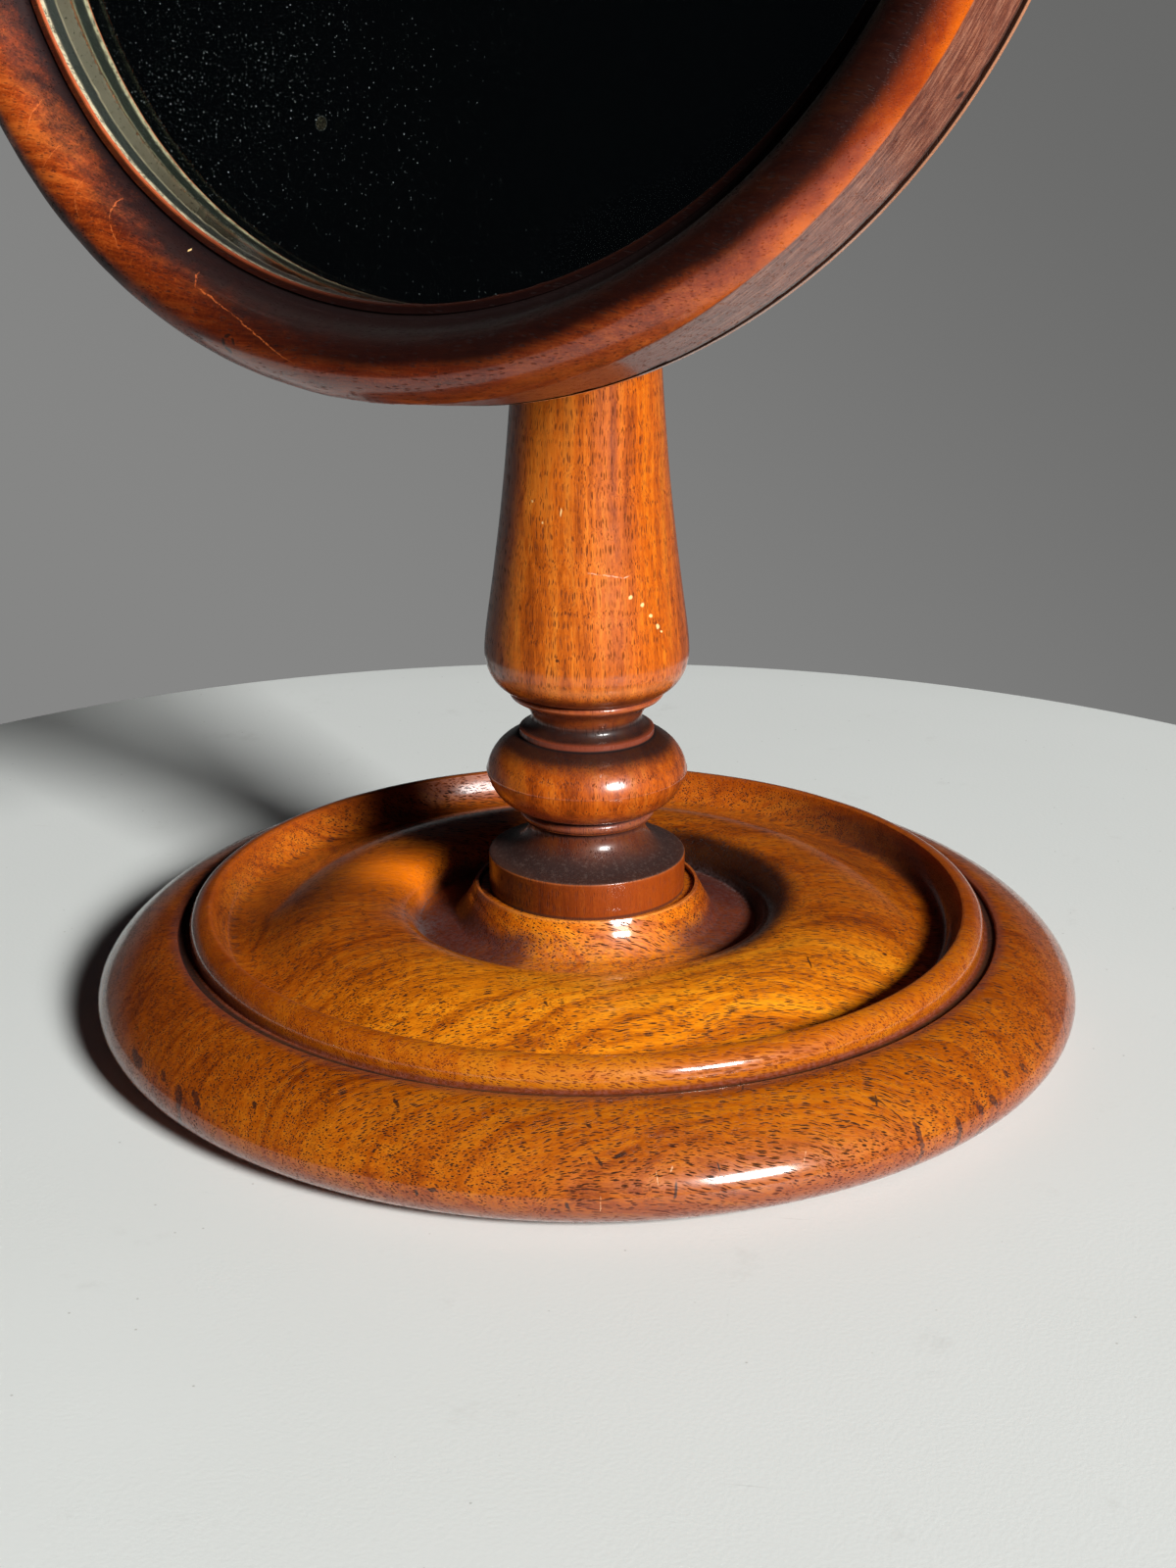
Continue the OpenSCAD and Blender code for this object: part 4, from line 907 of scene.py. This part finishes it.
def frameStain(wood, colour, rough):
    x, y, z, radius, towards = wood.around(*onGlass)
    cloud = wood.noise(wood.placed(), 300, 3)
    soft = wood.noise(wood.placed(), 70, 3)
    speckle = wood.noise(wood.placed(), 1500, 3, 0.7)
    past, before = wood.steps(frameEdges)

    def wavy(value, broad=0, narrow=0):  # wanders by up to half of broad and narrow, in mm
        value = value + (soft - 0.5) * (broad * mm) if broad else value
        return value + (cloud - 0.5) * (narrow * mm) if narrow else value

    low = wood.rise(towards(0), 0.80, 0.99)
    ragged = wavy(radius, 5, 4) + (speckle - 0.5) * (5 * mm) - low * (1.4 * mm)
    # the hollow is darkened nearly to black all round: partly its own dark finish, partly painted shade
    hollow = past("hollowIn", radius) * before("hollowOut", ragged)
    colour = wood.mix(1.0, colour, wood.mix(low, (1, 1, 1, 1), (0.66, 0.54, 0.52, 1)), "MULTIPLY")
    leftwards = wood.rise(towards(-60) + (soft - 0.5) * 0.3, 0.76, 0.92)
    # painted shade on the roll's outer edge on the side away from the lamp
    rollDirt = past("rollDirt", wavy(radius, 4, 3)) * wood.rise(cloud * 0.5 + soft * 0.7, 0.38, 0.58) * leftwards
    wall = before("wall", radius) * before("wallTop", wavy(z, 0, 0.4))
    slip = wood.mix(past("slip", wavy(z, 0, 1)), shade(26, 30, 26), shade(84, 76, 62))
    flaked = past("slipWorn", z) * wood.rise(speckle * 0.7 + cloud * 0.3, 0.42, 0.52)
    slip = wood.coated(slip, [(flaked * 0.7, shade(190, 178, 150)), (before("slipFoot", z), shade(96, 88, 70))])
    lip = past("lipIn", radius) * before("lipOut", radius)
    # painted light and shade: the lip is lighter on the lamp's side and darker on the far side
    lipLightAndShade = wood.mix(wood.rise(towards(90), 0.3, 0.8), shade(40, 15, 12), shade(104, 42, 24))
    arris = past("wallTop", z) * before("arris", radius)
    side = past("side", radius) * before("sideFront", z)
    sideBack = side * before("sideBack", wavy(z, 0, 0.8))
    scuffed = wood.noise(wood.joined(x * 150, y * 150, z * 1100), 1, 4, 0.75)
    scuffs = wood.ramp(scuffed, [(0.36, shade(72, 38, 32)), (0.5, shade(128, 78, 62)), (0.66, shade(186, 130, 104))])
    # painted light on the roll's side that faces the lamp: a red-orange zone and a bright orange crest
    upwards = wood.rise(towards(66), 0.78, 0.99)
    glow = upwards * past("glow", wavy(radius, 5)) * (1 - side)
    crest = upwards * past("crest", wavy(radius, 4) - upwards * (1 * mm)) * (1 - side)
    # painted shadow in the hollow on the lamp's side, where the roll shades it
    inner = wood.rise(towards(40), 0.2, 0.8) * before("inner", wavy(radius, 3) - upwards * (4 * mm))
    colour = wood.coated(colour, [
        (hollow * 0.97, shade(16, 6, 9)), (rollDirt * 0.85, shade(24, 10, 10)), (wall, slip), (lip * 0.85, lipLightAndShade),
        (arris * 0.8, shade(168, 76, 44)), (side * (0.8 - low * 0.55), scuffs), (side * low * 0.75, shade(112, 46, 28)),
        (sideBack * 0.8, shade(30, 16, 14)), (glow * 0.6, shade(176, 60, 8)), (crest * 0.7, shade(255, 124, 6)),
        (inner * 0.96, shade(24, 9, 8)),
    ])
    matt = (hollow * 0.75).most(inner * 0.85) + wall * 0.7 + side * (0.3 + low * 0.5) + rollDirt * 0.6
    return colour, rough + hollow * 0.15, matt


reach = mirror["reach"]
innerWall = [(mirror["rabbetR"], -mirror["lip"][0]), (mirror["openingR"], -mirror["lip"][0])]
framePath = lifted(innerWall + faceOutline(mirror), reach)
framePath += [(mirror["frameR"], reach - mirror["depth"]), (mirror["rabbetR"], reach - mirror["depth"])]
framePath = framePath[::-1]
mirrorFrame = turned("mirrorFrame", framePath, 560, onMirror, spacing=0.7, ripple=0.1, rippleSize=9, nicks=0.5)
frameWood = mahogany(frameLook, frameStain)
dress(mirrorFrame, frameWood, "mirror", "mahogany_frame", "mirror_frame")

glassR, glassFront, glassBack = mirror["glass"]
glassPath = [(0, glassBack + 0.03), (glassR - 0.4, glassBack + 0.03), (glassR, glassBack + 0.4), (glassR, glassFront - 0.5)]
glassPath += [(glassR - 0.4, glassFront - 0.02), (0, glassFront - 0.02)]
glassPiece = turned("mirrorGlass", glassPath, 256, onMirror, spacing=8)
glass = Finish(bpy.data.materials.new("oldGlass"))
clearTint = (0.93, 0.97, 0.94, 1)
clear = glass.polish({"Base Color": clearTint, "Roughness": 0.0, "IOR": 1.5, "Transmission Weight": 1.0})
shadowRay = glass.add("ShaderNodeLightPath", out="Is Shadow Ray")
lit = glass.add("ShaderNodeBsdfTransparent", None, [clearTint])
glass.end(glass.add("ShaderNodeMixShader", None, [shadowRay, clear, lit]))
dress(glassPiece, glass.owner, "mirror", "glass", "mirror_glass")

silverR, silverBack, silverFront = glassR - 0.3, mirror["silver"], glassBack - 0.02
silverPath = [(0, silverBack), (silverR, silverBack), (silverR, silverFront), (0, silverFront)]
silverPiece = turned("mirrorSilvering", silverPath, 192, onMirror, spacing=6)
silverWear = {  # specks to a metre, then mm: where they crowd and how far, where the edge is lost, one blot
    "specks": (1000, 1900), "crowd": (-50, -78, 55, 35), "rim": (110, 118), "edge": (118.6, 119.2),
    "blot": (-26.5, -84.0, 1.3, 1.7),
}
silver = Finish(bpy.data.materials.new("oldSilvering"))
point = silver.placed(*onGlass)
x, y, _, radius, towards = silver.around(*onGlass)
speck, chance = silver.cells(silver.joined(x, y, 0.0), silverWear["specks"][0])
fineSpeck, fineChance = silver.cells(silver.joined(x, y, 0.5), silverWear["specks"][1])
cloud = silver.noise(point, 22, 3)
crowdX, crowdY, crowdW, crowdH = inMetres(silverWear["crowd"])
crowd = silver.hill((x - crowdX) / crowdW, (y - crowdY) / crowdH)
rimward = silver.rise(radius, *inMetres(silverWear["rim"]))
density = crowd * 0.26 + rimward * 0.06 + cloud * 0.20
foxing = silver.fall(speck, 0.08, 0.20) * silver.rise(chance + density, 1.14, 1.22)
fineFoxing = silver.fall(fineSpeck, 0.10, 0.26) * silver.rise(fineChance + density, 1.10, 1.2)
foxing = foxing.most(fineFoxing * 0.7) * 0.8
grime = silver.noise(point, 1400, 4, 0.7)
ragged = radius + (grime - 0.5) * (2 * mm)
edging = silver.rise(ragged, *inMetres(silverWear["edge"]))
edging = edging * silver.rise(grime, 0.30, 0.45) * silver.rise(towards(-90), 0.30, 0.80)
blotX, blotY, blotR, blotEnd = inMetres(silverWear["blot"])
blot = silver.fall(((x - blotX) * (x - blotX) + (y - blotY) * (y - blotY)) ** 0.5, blotR, blotEnd) * 0.14
lost = foxing.most(edging).most(blot)
tint = silver.mix((edging.most(blot) * 8).least(1.0), shade(150, 154, 160), shade(98, 90, 76))
silverColour = silver.mix((lost * 8).least(1.0), shade(226, 230, 226), tint)
silver.end(silver.polish({"Base Color": silverColour, "Metallic": 1 - lost, "Roughness": 0.025 + edging * 0.7}))
dress(silverPiece, silver.owner, "mirror", "silvering", "silvering")

grooveW, grooveD = mirror["backGroove"]
frameBack, boardBack, arris = reach - mirror["depth"], mirror["boardBack"], mirror["arris"]
boardR, spigotR, felt = mirror["frameR"], mirror["spigotR"], mirror["felt"]
boardPath = [(0, boardBack), (boardR - arris, boardBack)]
boardPath += oval((boardR - arris, boardBack + arris), (arris, arris), -90, 0, 6)
boardPath += [(boardR, frameBack - grooveW), (boardR - grooveD, frameBack - grooveW), (boardR - grooveD, frameBack)]
boardPath += [(spigotR, frameBack), (spigotR, felt), (0, felt)]
backBoard = turned("backBoard", boardPath, 256, onMirror, spacing=1.5)
boardLook = dict(frameLook, name="mahoganyBoard", turn=(0, mirror["tilt"] - 90, 90), mottle=0.1)
for marks in ("scratches", "chips", "dents", "blots"):
    boardLook.pop(marks)
boardEdges = {"rim": (140.2, 140.8), "rimTop": (43.0, 43.4), "grooveFoot": (42.8, 43.3), "groove": (137, 138.5)}  # mm


def boardStain(wood, colour, rough):
    _, _, z, radius, _ = wood.around(*onGlass)
    past, before = wood.steps(boardEdges)
    rim = past("rim", radius) * before("rimTop", z)
    groove = past("grooveFoot", z) * past("groove", radius)
    colour = wood.coated(colour, [(rim * 0.55, shade(226, 166, 128)), (groove * 0.95, shade(26, 17, 15))])
    return colour, rough, groove * 0.6


boardWood = mahogany(boardLook, boardStain)
dress(backBoard, boardWood, "mirror", "mahogany_frame", "back_board")

bossBack, bossR = mirror["bossBack"], mirror["bossR"]
bossPath = [(0, bossBack)] + oval((bossR - 3, bossBack + 3), (3, 3), -90, 0) + [(bossR, boardBack), (0, boardBack)]
backBoss = turned("backBoss", bossPath, 128, onMirror, spacing=1.2)
dress(backBoss, boardWood, "mirror", "mahogany_frame", "back_boss")


# other finishes

def agedMetal(name, clean, tarnish, rough, share):
    metal = Finish(bpy.data.materials.new(name))
    point = metal.placed()
    cloud = metal.noise(point, 70, 5, 0.65)
    speckle = metal.noise(point, 900, 3, 0.6)
    dull = metal.rise(cloud + (speckle - 0.5) * 0.4, 0.42, 0.72) * share
    dull = dull * (1 - metal.add("ShaderNodeAttribute", {"attribute_name": "edge"}, out="Fac") * 0.85)
    brushed = metal.noise(metal.stretched(point, (300, 300, 5200)), 1, 2)
    fine = metal.bump(brushed + speckle * 0.6, 0.00002)
    values = {
        "Base Color": metal.mix(dull, clean, tarnish), "Metallic": 1 - dull * 0.35,
        "Roughness": rough + dull * 0.3 + (brushed - 0.5) * 0.1, "Normal": fine,
    }
    return metal.end(metal.polish(values))


def cloth(name, dark, light, weave):
    stuff = Finish(bpy.data.materials.new(name))
    point = stuff.placed()
    fuzz = stuff.noise(point, weave, 4, 0.7)
    cloud = stuff.noise(point, 30, 3)
    colour = stuff.mix(fuzz * 0.7 + cloud * 0.3, dark, light)
    values = {"Base Color": colour, "Roughness": 0.95, "Normal": stuff.bump(fuzz, 0.0003), "Sheen Weight": 0.4}
    return stuff.end(stuff.polish(values))


brass = agedMetal("agedBrass", shade(206, 166, 92), shade(84, 62, 34), 0.24, 0.75)
iron = agedMetal("castIron", shade(92, 90, 88), shade(58, 40, 30), 0.5, 0.9)
steel = agedMetal("steel", shade(176, 176, 178), shade(90, 84, 80), 0.3, 0.6)


def soften(mesh, width, sharp=28):  # narrow rounded edges, marked for the wear of the finish
    shape = bmesh.new()
    shape.from_mesh(mesh)
    bmesh.ops.remove_doubles(shape, verts=shape.verts, dist=2e-6)
    bmesh.ops.dissolve_limit(shape, angle_limit=radians(0.6), verts=shape.verts, edges=shape.edges)
    hard = [edge for edge in shape.edges if len(edge.link_faces) == 2 and edge.calc_face_angle() > radians(sharp)]
    edges = {"offset": width * mm, "segments": 2, "profile": 0.5, "affect": "EDGES", "clamp_overlap": True}
    rounded = bmesh.ops.bevel(shape, geom=hard, **edges)
    mark = shape.verts.layers.float.new("edge")
    for face in rounded["faces"]:
        for vertex in face.verts:
            vertex[mark] = 1.0
    bmesh.ops.remove_doubles(shape, verts=shape.verts, dist=1e-6)
    shape.to_mesh(mesh)
    shape.free()
    return mesh


def settled(piece):  # the modifiers' result becomes the piece's own plain mesh
    mesh = bpy.data.meshes.new_from_object(piece.evaluated_get(bpy.context.evaluated_depsgraph_get()))
    piece.modifiers.clear()
    piece.data = mesh
    return piece


def evened(piece):  # flat faces stay flat beside their rounded edges
    piece.modifiers.new("even", "WEIGHTED_NORMAL").keep_sharp = True
    return settled(piece)


leather = cloth("leather", shade(52, 32, 20), shade(92, 60, 36), 900)
fittings = [  # new name, the solid's name, width of its rounded edges in mm, finish, body, slot
    ("topPlate", "top_plate", 0.35, brass, "stand", "brass"),
    ("swivelBush", "swivel_bush", 0.2, brass, "stand", "brass"),
    ("swivelPost", "swivel_post", 0.4, brass, "post", "brass"),
    ("mirrorBracket", "mirror_bracket", 0.5, brass, "mirror", "brass"),
    ("pivotBolt", "pivot_bolt", 0.35, brass, "mirror", "brass"),
    ("nutWasher", "nut_washer", 0.15, brass, "mirror", "brass"),
    ("frictionWashers", "friction_washers", 0.15, leather, "mirror", "leather"),
    ("thumbNut", "thumb_nut", 0.4, brass, "nut", "brass"),
]
for name, node, width, material, body, slot in fittings:
    mesh = nodes[node].data.copy()
    mesh.transform(nodes[node].matrix_world)
    dress(evened(settle(name, soften(mesh, width))), material, body, slot, node)

screwSeats = {"plate": 264.4, "board": mirror["boardBack"], "bracket": 21}  # mm, where the heads' tops lie
facingBack = Matrix.Rotation(pi, 4, "X")
plateTop = Matrix.Translation((0, 0, screwSeats["plate"] * mm))
boardFace = onMirror @ Matrix.Translation((0, 0, screwSeats["board"] * mm)) @ facingBack
bracketFace = onMirror @ Matrix.Translation((0, 0, screwSeats["bracket"] * mm)) @ facingBack
screws = [  # name; shank radius, length, head radius; how many, circle, first angle, seed; place, body, solid's name
    ("plateScrews", (1.1, 12, 2.0), (3, 12.85, 45, 3), plateTop, "stand", "plate_screws"),
    ("boardScrews", (1.6, 11, 3.2), (6, 134.5, 0, 8), boardFace, "mirror", "back_board_screws"),
    ("bracketScrews", (1.6, 11, 3.2), (4, 16.2, 45, 5), bracketFace, "mirror", "bracket_screws"),
]


def screwShape(r, length, headR):  # slotted countersunk screw, its head's top at the origin
    headH, edgeH = headR - r, 0.3
    outline = [(0, -length), (0.2 * r, -length), (r, 2 * r - length), (r, -edgeH - headH)]
    outline += [(headR, -edgeH), (headR - 0.05, 0), (0, 0.04)]
    screw = turned("screw", outline, 48, spacing=30)
    slot = bpy.data.meshes.new("slot")
    cutter = bmesh.new()
    sizes = Matrix.Diagonal((3 * headR * mm, 0.5 * r * mm, headH * mm, 1))
    bmesh.ops.create_cube(cutter, size=1, matrix=Matrix.Translation((0, 0, 0.1 * headH * mm)) @ sizes)
    cutter.to_mesh(slot)
    cutter.free()
    blade = bpy.data.objects.new("slot", slot)
    scene.collection.objects.link(blade)
    cut = screw.modifiers.new("slot", "BOOLEAN")
    cut.operation, cut.solver, cut.object = "DIFFERENCE", "EXACT", blade
    settled(screw)
    bpy.data.objects.remove(blade)
    piece = settle("screwShape", soften(screw.data, 0.08))
    bpy.data.objects.remove(screw)
    return evened(piece)


def ringOf(name, source, count, ring, start, seed, place):  # the screw set on a circle, each slot turned its own way
    group = bpy.data.node_groups.new(name, "GeometryNodeTree")
    given = {
        "Count": ("NodeSocketInt", count), "Radius": ("NodeSocketFloat", ring * mm),
        "Start": ("NodeSocketFloat", radians(start)), "Seed": ("NodeSocketInt", seed),
        "Screw": ("NodeSocketObject", source), "Finish": ("NodeSocketMaterial", brass),
    }
    keys = {}
    for label, (kind, _) in given.items():
        keys[label] = group.interface.new_socket(label, in_out="INPUT", socket_type=kind).identifier
    group.interface.new_socket("Geometry", in_out="OUTPUT", socket_type="NodeSocketGeometry")

    def make(kind, links, settings=None):
        node = group.nodes.new(kind)
        for key, value in (settings or {}).items():
            setattr(node, key, value)
        for key, value in links.items():
            socket = next(s for s in node.inputs if key in (s.identifier, s.name))
            if isinstance(value, bpy.types.NodeSocket):
                group.links.new(value, socket)
            else:
                socket.default_value = value
        return node

    inlet = make("NodeGroupInput", {}).outputs
    circle = make("GeometryNodeMeshCircle", {"Vertices": inlet["Count"], "Radius": inlet["Radius"]})
    first = make("ShaderNodeCombineXYZ", {"Z": inlet["Start"]})
    places = make("GeometryNodeTransform", {"Geometry": circle.outputs[0], "Rotation": first.outputs[0]})
    spread = {"Min_001": 0.0, "Max_001": 2 * pi, "Seed": inlet["Seed"]}
    way = make("FunctionNodeRandomValue", spread, {"data_type": "FLOAT"})
    turn = make("ShaderNodeCombineXYZ", {"Z": next(s for s in way.outputs if s.identifier == "Value_001")})
    screw = make("GeometryNodeObjectInfo", {"Object": inlet["Screw"]})
    links = {"Points": places.outputs[0], "Instance": screw.outputs["Geometry"], "Rotation": turn.outputs[0]}
    copies = make("GeometryNodeInstanceOnPoints", links)
    real = make("GeometryNodeRealizeInstances", {"Geometry": copies.outputs[0]})
    finished = make("GeometryNodeSetMaterial", {"Geometry": real.outputs[0], "Material": inlet["Finish"]})
    make("NodeGroupOutput", {"Geometry": finished.outputs[0]})
    piece = bpy.data.objects.new(name, bpy.data.meshes.new(name))
    scene.collection.objects.link(piece)
    rings = piece.modifiers.new("ring", "NODES")
    rings.node_group = group
    for label, (_, value) in given.items():
        rings[keys[label]] = value
    settled(piece)
    piece.data.transform(place)
    bpy.data.objects.remove(source)
    return piece


for name, size, ring, place, body, node in screws:
    dress(ringOf(name, screwShape(*size), *ring, place), brass, body, "brass", node)
refinish(iron, "base_weight", "weight_screws")
refinish(steel, "column_screw", "screw_washer", "grub_screw", "boss_screws")
refinish(cloth("baize", shade(22, 48, 28), shade(44, 84, 52), 2200), "baize_pad")
refinish(cloth("felt", shade(70, 66, 60), shade(104, 98, 90), 1600), "glass_felt")
refinish(cloth("pine", shade(196, 156, 100), shade(222, 188, 132), 400), "glass_blocks")


# bounds of the CAD model and of the scene as built

size = {"cad": [list(corner) for corner in cadBox], "visual": [list(corner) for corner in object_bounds()]}
